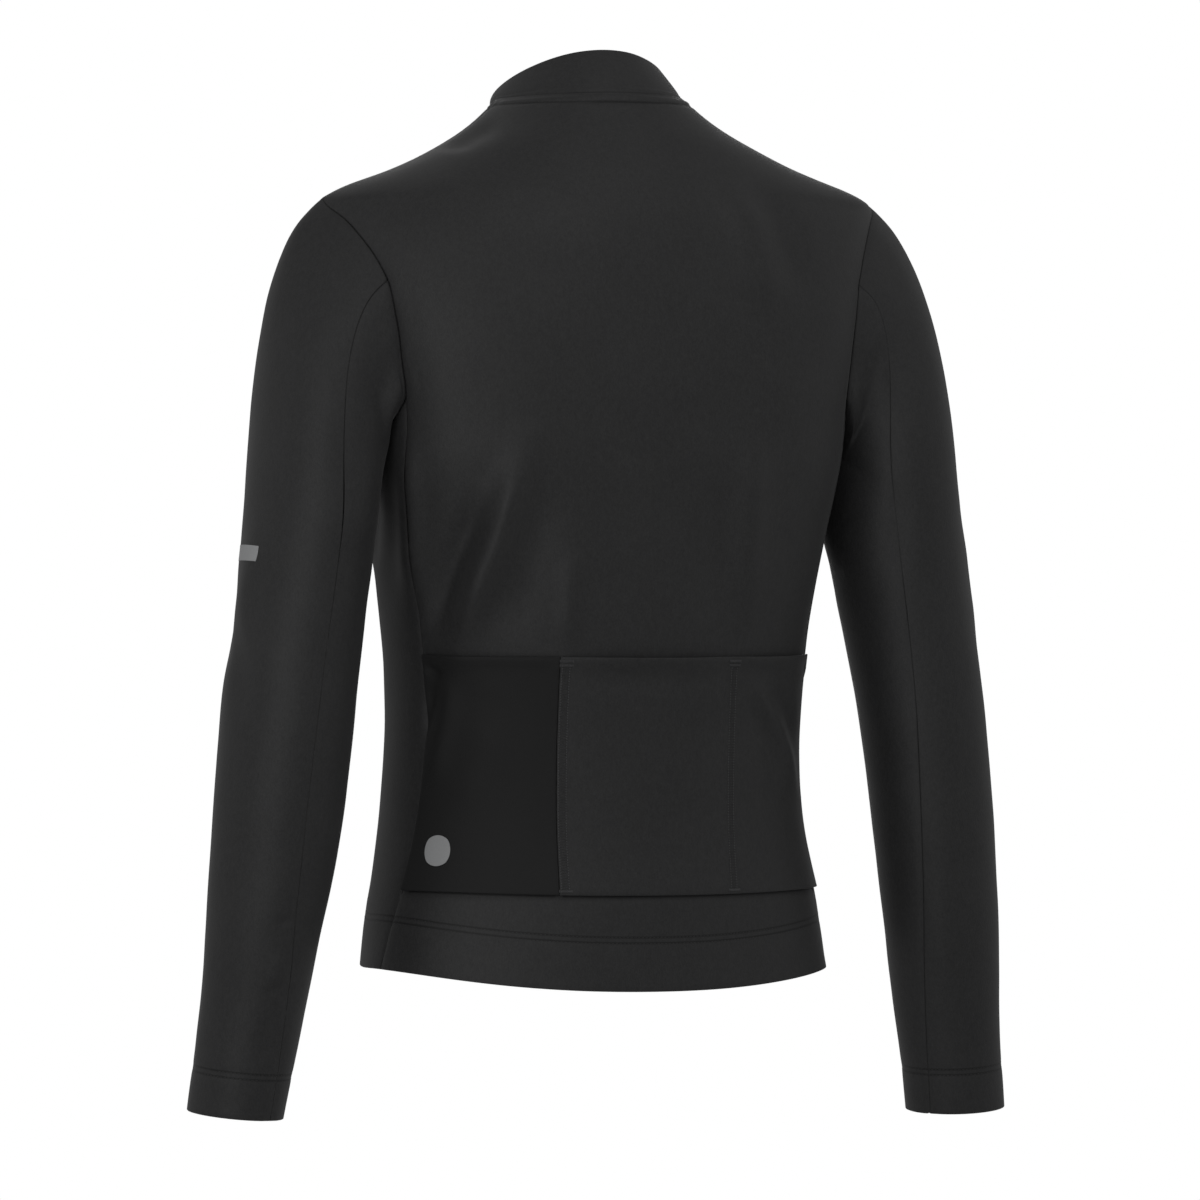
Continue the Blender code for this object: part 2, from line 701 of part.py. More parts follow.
def chain(line, normals):
    """The closed teeth, as one bar with bevelled edges, from over the box to the slider."""
    end = line_length(line) - SLIDER_BELOW_TOP + SLIDER_LENGTH / 2 - POST_LENGTH - PLATE_CLEARANCE
    spans, travelled = [], 0.0
    for first, second in zip(line, line[1:]):
        spans.append(travelled)
        travelled += (second - first).length
    stops = [CHAIN_START] + [stop for stop in spans if CHAIN_START + 2 < stop < end - 2] + [end]
    half, top, foot, bevel = CHAIN_WIDTH / 2, CHAIN_RISE, CHAIN_RISE - CHAIN_THICKNESS, CHAIN_BEVEL
    outline = (
        (-half, top - bevel), (-half + bevel, top), (half - bevel, top), (half, top - bevel),
        (half, foot + bevel), (half - bevel, foot), (-half + bevel, foot), (-half, foot + bevel),
    )  # fmt: skip
    points, faces = [], []
    for stop in stops:
        place, _ = along_line(line, stop)
        normal = normal_at(line, normals, stop)
        points += [place + Vector((x, 0, 0)) + normal * height for x, height in outline]
    sides = len(outline)
    for row in range(len(stops) - 1):
        for here in range(sides):
            beyond = (here + 1) % sides
            faces.append(tuple(row * sides + n for n in (here, beyond, beyond + sides, here + sides)))
    faces.append(tuple(reversed(range(sides))))
    faces.append(tuple(range(len(points) - sides, len(points))))
    return make_object("zip_chain", points, faces, "coil")


def normal_at(line, normals, distance):
    for number, (first, second) in enumerate(zip(line, line[1:])):
        span = (second - first).length
        if distance <= span:
            return normals[number].lerp(normals[number + 1], distance / span).normalized()
        distance -= span
    return normals[-1]


def box_mesh(name, size, centre, bevel, colour):
    """A bevelled block in its own frame: x across, y outwards, z along the zip."""
    mesh = bpy.data.meshes.new(name)
    build = bmesh.new()
    bmesh.ops.create_cube(build, size=1.0)
    bmesh.ops.scale(build, vec=Vector(size) * MM, verts=build.verts)
    bmesh.ops.translate(build, vec=Vector(centre) * MM, verts=build.verts)
    if bevel:
        edges = build.edges[:]
        bmesh.ops.bevel(build, geom=edges, offset=bevel * MM, segments=2, affect="EDGES", profile=0.5)
    build.to_mesh(mesh)
    build.free()
    mesh.materials.append(material(colour))
    made = bpy.data.objects.new(name, mesh)
    bpy.context.scene.collection.objects.link(made)
    return made


def combine(base, other, operation):
    """Applies a Boolean of other to base and removes other."""
    modifier = base.modifiers.new("combine", "BOOLEAN")
    modifier.operation = operation
    modifier.object = other
    bpy.context.view_layer.update()
    evaluated = base.evaluated_get(bpy.context.evaluated_depsgraph_get())
    mesh = bpy.data.meshes.new_from_object(evaluated)
    base.modifiers.clear()
    base.data = mesh
    bpy.data.objects.remove(other)


def slider(centre, along):
    """The slider's two plates, the post that joins them over the end of the chain, and the pull's arch."""
    upper = CHAIN_RISE + PLATE_CLEARANCE + PLATE_THICKNESS / 2
    lower = CHAIN_RISE - CHAIN_THICKNESS - PLATE_CLEARANCE - PLATE_THICKNESS / 2
    plate = (SLIDER_WIDTH, PLATE_THICKNESS, SLIDER_LENGTH)
    body = box_mesh("zip_slider", plate, (0, -upper, 0), 0.4, "metal")
    combine(body, box_mesh("lower_plate", plate, (0, -lower, 0), 0.4, "metal"), "UNION")
    post_z = (SLIDER_LENGTH - POST_LENGTH) / 2
    post = (POST_WIDTH, upper - lower, POST_LENGTH - 0.5)
    combine(body, box_mesh("post", post, (0, -(upper + lower) / 2, post_z), 0, "metal"), "UNION")
    top = upper + PLATE_THICKNESS / 2
    sunk = 0.4
    block = (ARCH_WIDTH, ARCH_HEIGHT + sunk, ARCH_LENGTH)
    arch = box_mesh("arch", block, (0, -top - (ARCH_HEIGHT - sunk) / 2, 0), 0.35, "metal")
    hole = (ARCH_WIDTH * 2, ARCH_HEIGHT - ARCH_WALL, ARCH_LENGTH - 2 * ARCH_WALL)
    hole_middle = (0, -top - (ARCH_HEIGHT - ARCH_WALL) / 2, 0)
    combine(arch, box_mesh("hole", hole, hole_middle, 0, "metal"), "DIFFERENCE")
    combine(body, arch, "UNION")
    stand(body, centre, along)
    return top + PULL_AXIS_HEIGHT


def stand(made, centre, along):
    """Puts a zip fitting on the zip's line, its z along the line and its -y outwards."""
    across = Vector((1, 0, 0))
    inwards = along.cross(across).normalized()
    turned = Matrix((across, inwards, along)).transposed().to_4x4()
    made.matrix_world = Matrix.Translation(centre * MM) @ turned


def pull(centre, along, axis_height):
    """The pull tab, hanging plumb from its crossbar inside the slider's arch."""
    outwards = -along.cross(Vector((1, 0, 0))).normalized()
    axis = (centre + outwards * axis_height) * MM
    bar = PULL_THICKNESS / 2
    slot_width, slot_length = PULL_SLOT
    plate = (PULL_WIDTH, PULL_THICKNESS, PULL_LENGTH)
    tab = box_mesh("zip_pull", plate, (0, 0, bar - PULL_LENGTH / 2), 0.3, "metal")
    slot = (slot_width, PULL_THICKNESS * 3, slot_length - bar)
    combine(tab, box_mesh("slot", slot, (0, 0, -(slot_length + bar) / 2), 0, "metal"), "DIFFERENCE")
    tab.location = axis
    return axis


def zip_box(line):
    """The box at the foot of the zip, which takes the pin of the other side."""
    centre, along = along_line(line, CHAIN_START - 1.0 - BOX_SIZE[2] / 2)
    made = box_mesh("zip_box", BOX_SIZE, (0, 0, 0), 0.5, "coil")
    outwards = -along.cross(Vector((1, 0, 0))).normalized()
    stand(made, centre + outwards * (BOX_SIZE[1] / 2 + 0.3), along)


# ================================================================ the jacket
def build_jacket():
    back, front, side = back_rows(), front_rows(), side_rows()
    armhole = armhole_loop(back, front, side)

    back_patch = Patch("back", "jersey")
    back_patch.grid(back, False, body_wall, band_rise)
    front_left = Patch("front_left", "jersey")
    front_left.grid(front, True, body_wall, band_rise)
    front_left.grid(side, True, body_wall)
    front_right = Patch("front_right", "jersey")
    front_right.grid(mirrored(front), False, body_wall, band_rise)
    front_right.grid(mirrored(side), False, body_wall)

    neck_front = [point.copy() for point in front[NECK_ROW]]
    neck_back = list(reversed(back[NECK_ROW]))
    neck_line = neck_front + neck_back[1:] + list(reversed(mirrored([neck_front])[0]))[1:]
    collar_net = collar_rows([point.copy() for point in neck_line])
    collar = Patch("collar", "jersey")
    collar.grid(collar_net, True, lambda row: COLLAR_CLOTH)

    tapes = [tape(1, front, collar_net), tape(-1, front, collar_net)]
    cloth = [back_patch, front_left, front_right, collar, *tapes]
    cloth += sleeve_patches("left", LEFT_SLEEVE, armhole, False)
    cloth += sleeve_patches("right", RIGHT_SLEEVE, armhole, True)
    normals = shared_normals(cloth)
    walls = {patch.name: cloth_wall(patch, normals) for patch in cloth}

    outer, directions = walls["back"]
    middle = BACK_COLUMNS
    right_edge, left_edge = 0, 2 * middle
    left_divider, right_divider = middle + DIVIDER_COLUMN, middle - DIVIDER_COLUMN
    pocket(
        "pocket_left", outer, directions, range(left_divider, left_edge + 1),
        (left_divider, left_edge), "smooth",
    )  # fmt: skip
    pocket(
        "pocket_centre_right", outer, directions, range(right_edge, left_divider + 1),
        (right_edge, right_divider, left_divider), "jersey",
    )  # fmt: skip

    line, line_normals = front_line(front, collar_net)
    chain(line, line_normals)
    zip_box(line)
    slider_place, slider_along = along_line(line, line_length(line) - SLIDER_BELOW_TOP)
    axis_height = slider(slider_place, slider_along)
    pull(slider_place, slider_along, axis_height)


for old in list(bpy.data.objects):
    bpy.data.objects.remove(old)
build_jacket()
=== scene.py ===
"""The looks of a long-sleeved cycling jacket, filled out as if worn.

Each cloth piece is a finer copy of its solid in the frame: the net is smoothed through the solid's own
points, then moved in and out by the seams' pull and by the creases, and its edges are rolled. What lies
on the cloth, such as stitches, is put there by casting rays at it.

Metres. The wearer faces -Y, so the back faces +Y. A place on the garment is often given as it is seen
from one side: the azimuth looked from, then millimetres across and millimetres up from the neck.
"""

import json
import math

import bmesh
import bpy
import numpy as np
from mathutils import Matrix, Vector, noise
from mathutils.bvhtree import BVHTree
from mathutils.kdtree import KDTree

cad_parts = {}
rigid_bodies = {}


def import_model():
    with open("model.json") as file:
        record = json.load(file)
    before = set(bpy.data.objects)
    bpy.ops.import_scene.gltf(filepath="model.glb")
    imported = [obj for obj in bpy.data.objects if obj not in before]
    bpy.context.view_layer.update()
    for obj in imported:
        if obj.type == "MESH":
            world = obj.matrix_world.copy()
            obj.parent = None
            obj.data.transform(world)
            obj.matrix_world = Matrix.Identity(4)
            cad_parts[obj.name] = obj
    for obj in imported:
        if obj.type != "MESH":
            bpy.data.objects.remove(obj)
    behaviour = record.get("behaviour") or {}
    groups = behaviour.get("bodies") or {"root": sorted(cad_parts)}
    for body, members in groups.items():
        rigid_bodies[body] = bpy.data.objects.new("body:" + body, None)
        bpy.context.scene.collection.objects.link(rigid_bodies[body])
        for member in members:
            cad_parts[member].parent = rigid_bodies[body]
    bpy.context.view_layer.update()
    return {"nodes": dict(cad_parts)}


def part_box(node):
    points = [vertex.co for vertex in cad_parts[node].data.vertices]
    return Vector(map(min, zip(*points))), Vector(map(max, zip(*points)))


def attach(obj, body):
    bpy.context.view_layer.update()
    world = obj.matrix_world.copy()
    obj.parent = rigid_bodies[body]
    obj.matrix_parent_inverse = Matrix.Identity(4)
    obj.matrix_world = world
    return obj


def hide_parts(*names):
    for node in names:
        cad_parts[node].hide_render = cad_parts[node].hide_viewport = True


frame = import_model()

MM = 0.001

# ---------------------------------------------------------------- the view
CAMERA_AZIMUTH = 159.0  # 0 looks along +Y at the front, 90 looks at the wearer's left side
CAMERA_DISTANCE = 9.0
CAMERA_AIM = (3.65, -359.16)  # mm across and up of the picture's middle
FRAME_WIDTH = 0.876  # how much the picture spans at the jacket
SENSOR_WIDTH = 36.0
CAMERA_REACH = 100

JACKET_MIDDLE = Vector((0, 0, -0.36))
SOFT_BOX_DISTANCE = 2.4
SOFT_BOX_SIZE = (1.1, 1.7)
# how far round from the camera to its right in degrees, elevation and power in watts
SOFT_BOXES = {
    "left soft box": (-80, 14, 1.8),
    "front soft box": (-22, 8, 8.6),
    "high front soft box": (30, 45, 4.8),
    "right soft box": (80, 14, 1.0),
    "soft box before the wearer": (180, 12, 7.0),
}
ROOM_LIGHT = 0.27  # how bright the room is to the jacket; it is white to the camera
FLOOR_GREY = 0.6
FLOOR_GLOW = 0.5  # added to the floor as the camera sees it, so that it is pale
FLOOR_RADIUS = 2.2
FLOOR_PLACE = (0, 0, -1.0)

# ---------------------------------------------------------------- cloth pieces
# finish, how often the net is halved, the thickest wall in mm, the flat cut's width and length in metres
# with its seam allowances, the cut's area in square metres, and the pieces that it is sewn to
CLOTH = {
    "back": ("jersey", 3, 3.8, (0.50, 0.70), 0.245, ("front_left", "front_right")),
    "front_left": ("jersey", 2, 3.8, (0.29, 0.66), 0.139, ("back",)),
    "front_right": ("jersey", 2, 3.8, (0.29, 0.66), 0.139, ("back",)),
    "collar": ("jersey", 3, 3.2, (0.41, 0.038), 0.0135, ("back",)),
    "sleeve_top_left": ("jersey", 3, 3.8, (0.25, 0.71), 0.118, ("back",)),
    "sleeve_top_right": ("jersey", 3, 3.8, (0.26, 0.72), 0.126, ("back",)),
    "sleeve_under_left": ("jersey", 3, 3.8, (0.15, 0.61), 0.058, ("back",)),
    "sleeve_under_right": ("jersey", 3, 3.8, (0.14, 0.60), 0.051, ("back",)),
    "pocket_left": ("smooth", 3, 3.0, (0.12, 0.17), 0.0182, ("back",)),
    "pocket_centre_right": ("jersey", 3, 3.0, (0.25, 0.18), 0.041, ("back",)),
    "zip_tape_left": ("tape", 2, 1.7, (0.01, 0.62), 0.0026, ("front_left",)),
    "zip_tape_right": ("tape", 2, 1.7, (0.01, 0.62), 0.0026, ("front_right",)),
}
PANELS = tuple(name for name in CLOTH if not name.startswith(("pocket", "zip")))
BODY_PANELS = ("back", "front_left", "front_right")
SLEEVES = {side: (f"sleeve_top_{side}", f"sleeve_under_{side}") for side in ("left", "right")}

# how the solids' triangles are joined up into the cloth's net
SAME_POINT = 0.01  # points that are closer than this in mm are one
JOIN_TURN = 130  # the turn between two triangles, in degrees, up to which they are joined
JOIN_SKEW = 180  # and how far out of square the new face may be
JOIN_FLOW = 1.7  # how much the joining follows the faces round about
SAME_AREA = 0.003  # the two sides of flat cloth differ by less than this share
CAGE_STEPS = 4  # how often the net is drawn towards the solid's points
SHARP_RIM = 40  # the turns in degrees from which an edge counts as sharp
SHARP_ROLLED = 38
SHARP_SLAB = 50
SHARP_METAL = 35
SHARP_PRINT = 40

# how the cloth is moved, in mm unless said otherwise
SEAM_PULL = 0.7  # how deep a seam draws the cloth in
SLEEVE_SEAM_PULL = 0.35
SEAM_REACH = 3.0  # how far from the seam
# the seam's dark line is widened here as painted shadow, for the gap where the right arm stands off the body
GAP_SHADOW_WIDENING = 2.4  # how much wider than its width the dark line gets at the foot of the right armhole
GAP_UP = (-330, -120)  # the heights between which it is wider
GAP_GROWTH = 150  # over how much of that height it widens
GAP_SIDE = -110  # it is to the wearer's right of this
ARMHOLE_HOLD = 9.0  # how far from the armhole's seam a sleeve's creases die away
SEAM_NEAR = 3.0  # the edges of two pieces that are closer than this are sewn together
EDGE_ROLL = 0.5  # radius of a turned edge
SLACK_WAVES = ((75.0, 0.9), (28.0, 0.25))  # length and height of the cloth's own unevenness
NECK_MIDDLE = 16.0  # how far the neck's middle lies forward of the origin
NECK_BAND = 8.0  # height of the seam allowance stitched down under the collar
NECK_BAND_RISE = 0.5
NECK_BAND_EDGE = (-1.2, 0.8)  # where it starts and ends to fall off, from its line of stitches
NECK_GROOVE = (0.7, 0.4, 1.3)  # depth, place under that line and half width
MOUTH_UP = -406.5  # the pockets' free edges above this are their mouths
MOUTH_HEM = (5.0, 8.0)  # how far below a mouth its turned edge starts and ends to fall off
MOUTH_HEM_RISE = 0.9
MOUTH_SLACK = ((-70, 59, 2.6), (-128, -70, 1.3))  # a mouth's right and left end and how far it stands off
MOUTH_SLACK_REACH = 15  # how far down that dies away
MOUTH_SLACK_FLATNESS = 0.8  # below 1 the slack is flatter in its middle and steeper at its ends
MOUTH_SINK = (0.45, 17, 8)  # the sunk part under it: share of the rise, place down and half width
FOOT_GROOVE = (1.2, 0.5, 2.2)  # depth, place under the pockets' feet and half width of their line
LOW_EDGES = -550  # the free edges below this are the hem's, the cuffs' and the pockets' feet
BESIDE_ZIP = 12.0  # the free edges within this of the middle are the fronts'
HEM_HEIGHT = 35.0  # from the hem's edge up to its lower line of stitches
CUFF_HEIGHT = 29.5
CUFF_TOP = (-660, -630)  # heights between which a sleeve shows which way is up at the cuff
TWIN_SPACING = 4.1  # between the two lines of stitches
TWIN_DIP = (0.35, 3.4)  # depth and half width of the dip along them
FAR = 1000.0  # stands for no line near

# dark lines painted into the cloth's colour: partly the seams' and stitches' own darkness, partly painted
# shade in their grooves; under the pockets' feet the line is painted shadow alone
# an attribute in mm, the spacing of the twin line beside it, half the line's width and how dark it is
SEAM_LINES_AND_PAINTED_SHADE = (
    ("to_seam", 0.0, 1.0, 0.92),
    ("to_sleeve_seam", 0.0, 0.9, 0.6),
    ("over_hem", TWIN_SPACING, 1.35, 0.97),
    ("under_neck", -NECK_BAND, 1.1, 0.9),
    ("under_pocket", 0.0, 2.3, 0.97),
)
# LINE_SHADE is how dark that painted shade makes a line
LINE_SHADE = 0.12  # how bright a line's colour is beside the cloth's darkest
LINE_DEPTH = 0.5  # how deep a line is beside the nap
CLOTH_SHINE = 0.45
NAP_DEPTH = 0.35  # in mm
NAP_FINE = (1.1, 2.0, 0.7)  # size in mm, detail and roughness
NAP_COARSE = (3.2, 2.0, 0.6)
NAP_PATCHES = (46.0, 2.0, 0.5)
NAP_FINE_SHARE = 0.62  # the coarse nap has the rest
NAP_STRETCH = (1.0, 1.0, 0.62)

# ---------------------------------------------------------------- creases
# under the azimuth they are seen from: name, rise (a trough is below 0), half width, and the path across and
# up in that view, all in mm; those whose names start with an arm's part are in the sleeves alone
CREASES = {
    159: (
        ("waist ridge beside the left seam", 12.0, 12,
         ((-48, -242), (-59, -277), (-70, -314), (-80, -340), (-89, -366), (-98, -400))),
        ("hollow between that ridge and the seam", -6.5, 12,
         ((-80, -275), (-90, -305), (-103, -337), (-111, -362), (-119, -392))),
        ("hollow on the ridge's inner side", -3.0, 14,
         ((-28, -270), (-40, -312), (-48, -346), (-56, -390))),
        ("short ridge above the left divider", 3.0, 8, ((-14, -318), (-18, -348), (-20, -398))),
        ("long faint ridge above the right divider", 5.0, 13,
         ((116, -225), (114, -290), (112, -345), (111, -396))),
        ("hollow left of that ridge", -2.6, 13, ((92, -250), (90, -300), (87, -350), (85, -394))),
        ("ridge down from the right shoulder blade", 4.6, 18,
         ((96, -50), (106, -82), (118, -118), (132, -158))),
        ("hollow outside that ridge", -3.4, 16, ((124, -48), (136, -84), (148, -120), (158, -156))),
        ("bulge at the left side seam", 5.5, 13, ((-136, -232), (-134, -279), (-133, -320), (-135, -372))),
        ("hollow under the left of the collar", -3.0, 18, ((-66, -10), (-88, -22), (-112, -36))),
        ("right arm, tug at its seam", -1.3, 9, ((201, -173), (198, -190), (193, -207))),
        ("right arm, ridge outside that tug", 1.0, 11, ((210, -177), (208, -199), (202, -220))),
        ("left pocket, tug at its top corner", -3.5, 5, ((-126, -406), (-118, -410), (-108, -413))),
        ("left pocket, hollow down its edge", -3.1, 6,
         ((-116, -415), (-118, -432), (-122, -450), (-126, -465))),
        ("left pocket, ridge beside that hollow", 2.4, 9,
         ((-104, -412), (-106, -439), (-113, -469), (-120, -498))),
        ("left pocket, low ridge to the badge", 1.4, 16, ((-69, -432), (-84, -483), (-102, -527))),
        ("right pocket, ridge from its top corner", 3.5, 8,
         ((111, -412), (124, -436), (139, -469), (150, -505))),
        ("right pocket, hollow left of that ridge", -2.4, 8, ((113, -432), (124, -461), (134, -498))),
        ("right pocket, hollow right of that ridge", -2.1, 8, ((128, -414), (139, -436), (147, -461))),
        ("left forearm, nick at the seam", -2.1, 3.5, ((-229, -590), (-223, -590), (-216, -588))),
        ("left forearm, swelling under the nick", 2.0, 9, ((-223, -607), (-226, -626), (-228, -644))),
        ("left forearm, nick over the cuff", -1.8, 5, ((-236, -640), (-228, -637), (-221, -639))),
        ("left forearm, hollow beside the seam", -1.7, 8, ((-233, -651), (-234, -673), (-236, -695))),
        ("left elbow, long hollow", -3.2, 14, ((-259, -359), (-256, -403), (-247, -447))),
        ("left arm, fullness beside the body", 6.5, 24,
         ((-141, -198), (-146, -222), (-153, -233), (-159, -258), (-164, -283), (-168, -310), (-170, -334))),
        ("left side, hollow under the armhole", -4.0, 16,
         ((-160, -275), (-162, -295), (-163, -320), (-161, -350), (-158, -375))),
        ("right arm, fullness beside the body", 7.5, 22,
         ((185, -215), (182, -240), (177, -270), (174, -300), (174, -330), (177, -352))),
        ("right upper arm, soft hollow", -1.8, 14, ((224, -264), (220, -308), (215, -352))),
        ("right forearm, soft ridge", 1.3, 12, ((249, -549), (255, -600), (259, -651))),
    ),
    0: (
        ("front, ridge from the left armpit", 4.3, 12, ((148, -186), (122, -226), (84, -262))),
        ("front, hollow under that ridge", -3.2, 13, ((154, -214), (126, -254), (92, -290))),
        ("front, ridge from the right armpit", 3.8, 11, ((-150, -192), (-118, -240), (-88, -268))),
        ("front, hollow under the right ridge", -2.7, 12, ((-152, -222), (-124, -266), (-98, -300))),
        ("front, left waist ridge", 3.3, 8, ((20, -428), (58, -438), (108, -424))),
        ("front, left waist hollow", -3.2, 9, ((24, -450), (66, -462), (120, -446))),
        ("front, right waist ridge", 3.0, 9, ((-18, -466), (-55, -478), (-98, -470))),
        ("front, right waist hollow", -2.5, 9, ((-22, -444), (-60, -452), (-112, -436))),
        ("front, left chest hollow beside the zip", -2.1, 12, ((26, -120), (30, -180), (24, -240))),
        ("front, right chest ridge beside the zip", 2.0, 11, ((-26, -150), (-32, -215), (-26, -270))),
        ("front, left hip ridge", 2.7, 12, ((112, -480), (98, -520), (92, -556))),
        ("front, right hip ridge", 2.4, 13, ((-118, -474), (-108, -520), (-96, -560))),
    ),
    20: (
        ("left elbow, crook fold", -3.9, 7, ((205, -420), (228, -434), (252, -428))),
        ("left elbow, ridge over the crook", 3.4, 8, ((207, -402), (230, -414), (254, -410))),
        ("left elbow, ridge under the crook", 2.7, 9, ((210, -444), (232, -454), (254, -446))),
    ),
    340: (
        ("right elbow, crook fold", -3.4, 7, ((-206, -428), (-230, -438), (-254, -434))),
        ("right elbow, ridge over the crook", 3.2, 9, ((-206, -408), (-232, -420), (-256, -414))),
        ("right elbow, ridge under the crook", 3.0, 8, ((-210, -452), (-234, -460), (-256, -456))),
    ),
    90: (
        ("left sleeve, soft hollow outside", -2.4, 13, ((-6, -330), (2, -380), (20, -420))),
        ("left sleeve, low ridge outside", 2.1, 14, ((36, -300), (32, -360), (40, -410))),
    ),
    270: (
        ("right sleeve, soft hollow outside", -2.1, 14, ((4, -340), (-8, -392), (-24, -436))),
        ("right sleeve, low ridge outside", 2.0, 13, ((-38, -290), (-34, -350), (-40, -400))),
    ),
}
WALK_STEPS = 24  # fine steps between two corners of a path
CREASE_STEP = 6.0  # mm between the points that a crease's path is walked with
CREASE_TAPER = 0.35  # share of its length over which a crease rises and dies away
CREASE_END = 0.12  # share of its rise that is left at its ends
CREASE_REACH = 2.6  # half widths from its path to where a crease stops

# ---------------------------------------------------------------- sewing, in millimetres
THREAD = 0.5  # width of a thread as it lies
STITCH = 2.3
STITCH_PITCH = 2.9
STITCH_SUNK = 0.05
ZIP_GAP = 10  # the hem's stitches stop this far from the middle in front
NECK_TURN = 4  # degrees round the neck between the points that its line of stitches is found from
NECK_SLOPE = (0.78, 0.62)  # out and down to that line from the collar's foot
NECK_ZIP_GAP = 14
DIVIDERS = {"left": (61.4, 5.4), "right": (-70.2, 4.6)}  # x of the cover stitch's middle, and its width
DIVIDER_LOW, DIVIDER_HIGH = -570.0, -404.0
DIVIDER_LINE_SUNK = -0.16  # a negative one stands off the cloth
RUNG_PITCH = 1.9
RUNG_LEAN = 9  # degrees to each side in turn
RUNG_SUNK = -0.12
RUNG_OVERLAP = 1.06  # how much longer a rung is than the cover stitch is wide
RUNG_THREAD = THREAD * 0.85
TACK_WIDTH = 9.5
TACK_PITCH = 0.62
TACK_SUNK = -0.22
TACK_LEAN = 0.12  # how far across for how far up
# length, width and thickness of single stitches
PLAIN_STITCH = (STITCH, THREAD, THREAD * 0.8)
DIVIDER_STITCH = (RUNG_PITCH * 0.7, THREAD * 1.7, THREAD)
TACK_STITCH = (2.6, TACK_PITCH * 0.95, 0.6)
TACK_HEIGHTS = (DIVIDER_HIGH + 0.6, DIVIDER_HIGH - 2.4, DIVIDER_LOW + 0.8)

# ---------------------------------------------------------------- zip, in millimetres
TOOTH_PITCH = 2.0
TOOTH = (3.0, 1.0, 1.15)  # length across, height along the zip and depth
TOOTH_SUNK = 0.12
TOOTH_LEAN = 0.10  # radians to each side in turn
TOOTH_SHIFT = 0.85
SLIDER_PLACE = (0.0, -99.095, -21.036)  # its middle; its own axes are across, out and up the zip
SLIDER_LEAN = 6.91  # degrees that the zip leans back there
PULL_PLACE = (0.0, -102.918, -21.498)  # the axis that the pull swings about

# the slider: half widths going up it, outlines across or outwards and up, and depths that count outwards
PLATE_SHAPE = (
    (-5.0, 2.5), (-4.6, 2.9), (-2.0, 3.0), (0.6, 3.3), (2.6, 3.75), (3.9, 3.7), (4.7, 3.1), (5.0, 2.2)
)
PLATE_DEPTHS = ((1.35, 2.55), (-3.15, -1.95))
RAIL_SHAPE = (
    (2.15, -4.2), (2.95, 2.8), (2.85, 3.9), (3.6, 3.9), (3.7, 2.8), (3.25, 0.6), (2.9, -4.2)
)
RAIL_DEPTHS = ((0.5, 1.6), (-2.2, -1.25))
POST = (1.8, 3.2, 4.7, 0.3)  # width, low and high end, and corner
POST_DEPTH = (-2.4, 1.8)
STRAP_HALF_WIDTH = 0.8
STRAP_OUTER = (
    (2.2, -3.2), (4.5, -3.2), (5.2, -3.0), (5.6, -2.5), (5.75, -1.7),
    (5.75, 1.7), (5.6, 2.5), (5.2, 3.0), (4.5, 3.2), (2.2, 3.2),
)
STRAP_INNER = (
    (2.2, 2.3), (4.2, 2.3), (4.6, 2.1), (4.85, 1.6), (4.85, -1.6), (4.6, -2.1), (4.2, -2.3), (2.2, -2.3)
)

# the pull: half widths going up it
PULL_SHAPE = (
    (-20.45, 1.4), (-20.1, 2.05), (-19.0, 2.45), (-12.0, 2.5),
    (-6.5, 2.25), (-1.0, 2.1), (0.1, 1.9), (0.5, 1.4),
)
PULL_HALF_DEPTH = 0.55
PULL_HOLES = ((2.6, -4.3, -0.55, 0.7), (2.0, -19.0, -17.0, 0.99))  # width, low and high end, and corner
GRIP_BARS = (5, -8.0, 1.7)  # how many, the height of the first and their pitch down the pull
GRIP_BAR = (3.4, 0.35, 0.3)  # width, half height and corner
GRIP_DEPTH = (0.45, 0.8)

# ---------------------------------------------------------------- reflective prints, in millimetres
DOT_PLACE = (-113.9, -540.2)  # across and up in the camera's view
DOT_SIZE = (21.0, 22.5)
BAR_AZIMUTH = 90.0
BAR_PLACE = (18.0, -325.0)
BAR_SIZE = (46.0, 11.5)
PRINT_RISE = 0.22
PRINT_LIFT = 0.4  # how much of that its underside stands off the cloth
PRINT_SQUARES = 24  # each way in a print's net
RAY_START = 30  # how far off the cloth the rays that place it start


# ================================================================ small helpers
def clear_selection():
    for made in bpy.context.scene.objects:
        made.select_set(False)


def only(made):
    clear_selection()
    bpy.context.view_layer.objects.active = made
    made.select_set(True)


def put_in_scene(name, data):
    made = bpy.data.objects.new(name, data)
    bpy.context.scene.collection.objects.link(made)
    return made


def edit_whole():
    """Opens the active mesh for editing, with all of it selected."""
    bpy.ops.object.mode_set(mode="EDIT")
    bpy.ops.mesh.select_all(action="SELECT")


def points_of(mesh):
    flat = np.empty(len(mesh.vertices) * 3, np.float32)
    mesh.vertices.foreach_get("co", flat)
    return flat.reshape(-1, 3).astype(float)


def move_points(mesh, points):
    mesh.vertices.foreach_set("co", points.astype(np.float32).ravel())
    mesh.update()


def read_value(mesh, name):
    flat = np.empty(len(mesh.vertices), np.float32)
    mesh.attributes[name].data.foreach_get("value", flat)
    return flat


def read_vector(mesh, name):
    flat = np.empty(len(mesh.vertices) * 3, np.float32)
    mesh.attributes[name].data.foreach_get("vector", flat)
    return flat.reshape(-1, 3).astype(float)


def write_value(mesh, name, values):
    layer = mesh.attributes.new(name, "FLOAT", "POINT")
    layer.data.foreach_set("value", values.astype(np.float32))


def apply_modifiers(made):
    only(made)
    for modifier in list(made.modifiers):
        bpy.ops.object.modifier_apply(modifier=modifier.name)


def tree_of(points):
    tree = KDTree(len(points))
    for number, point in enumerate(points):
        tree.insert(point, number)
    tree.balance()
    return tree


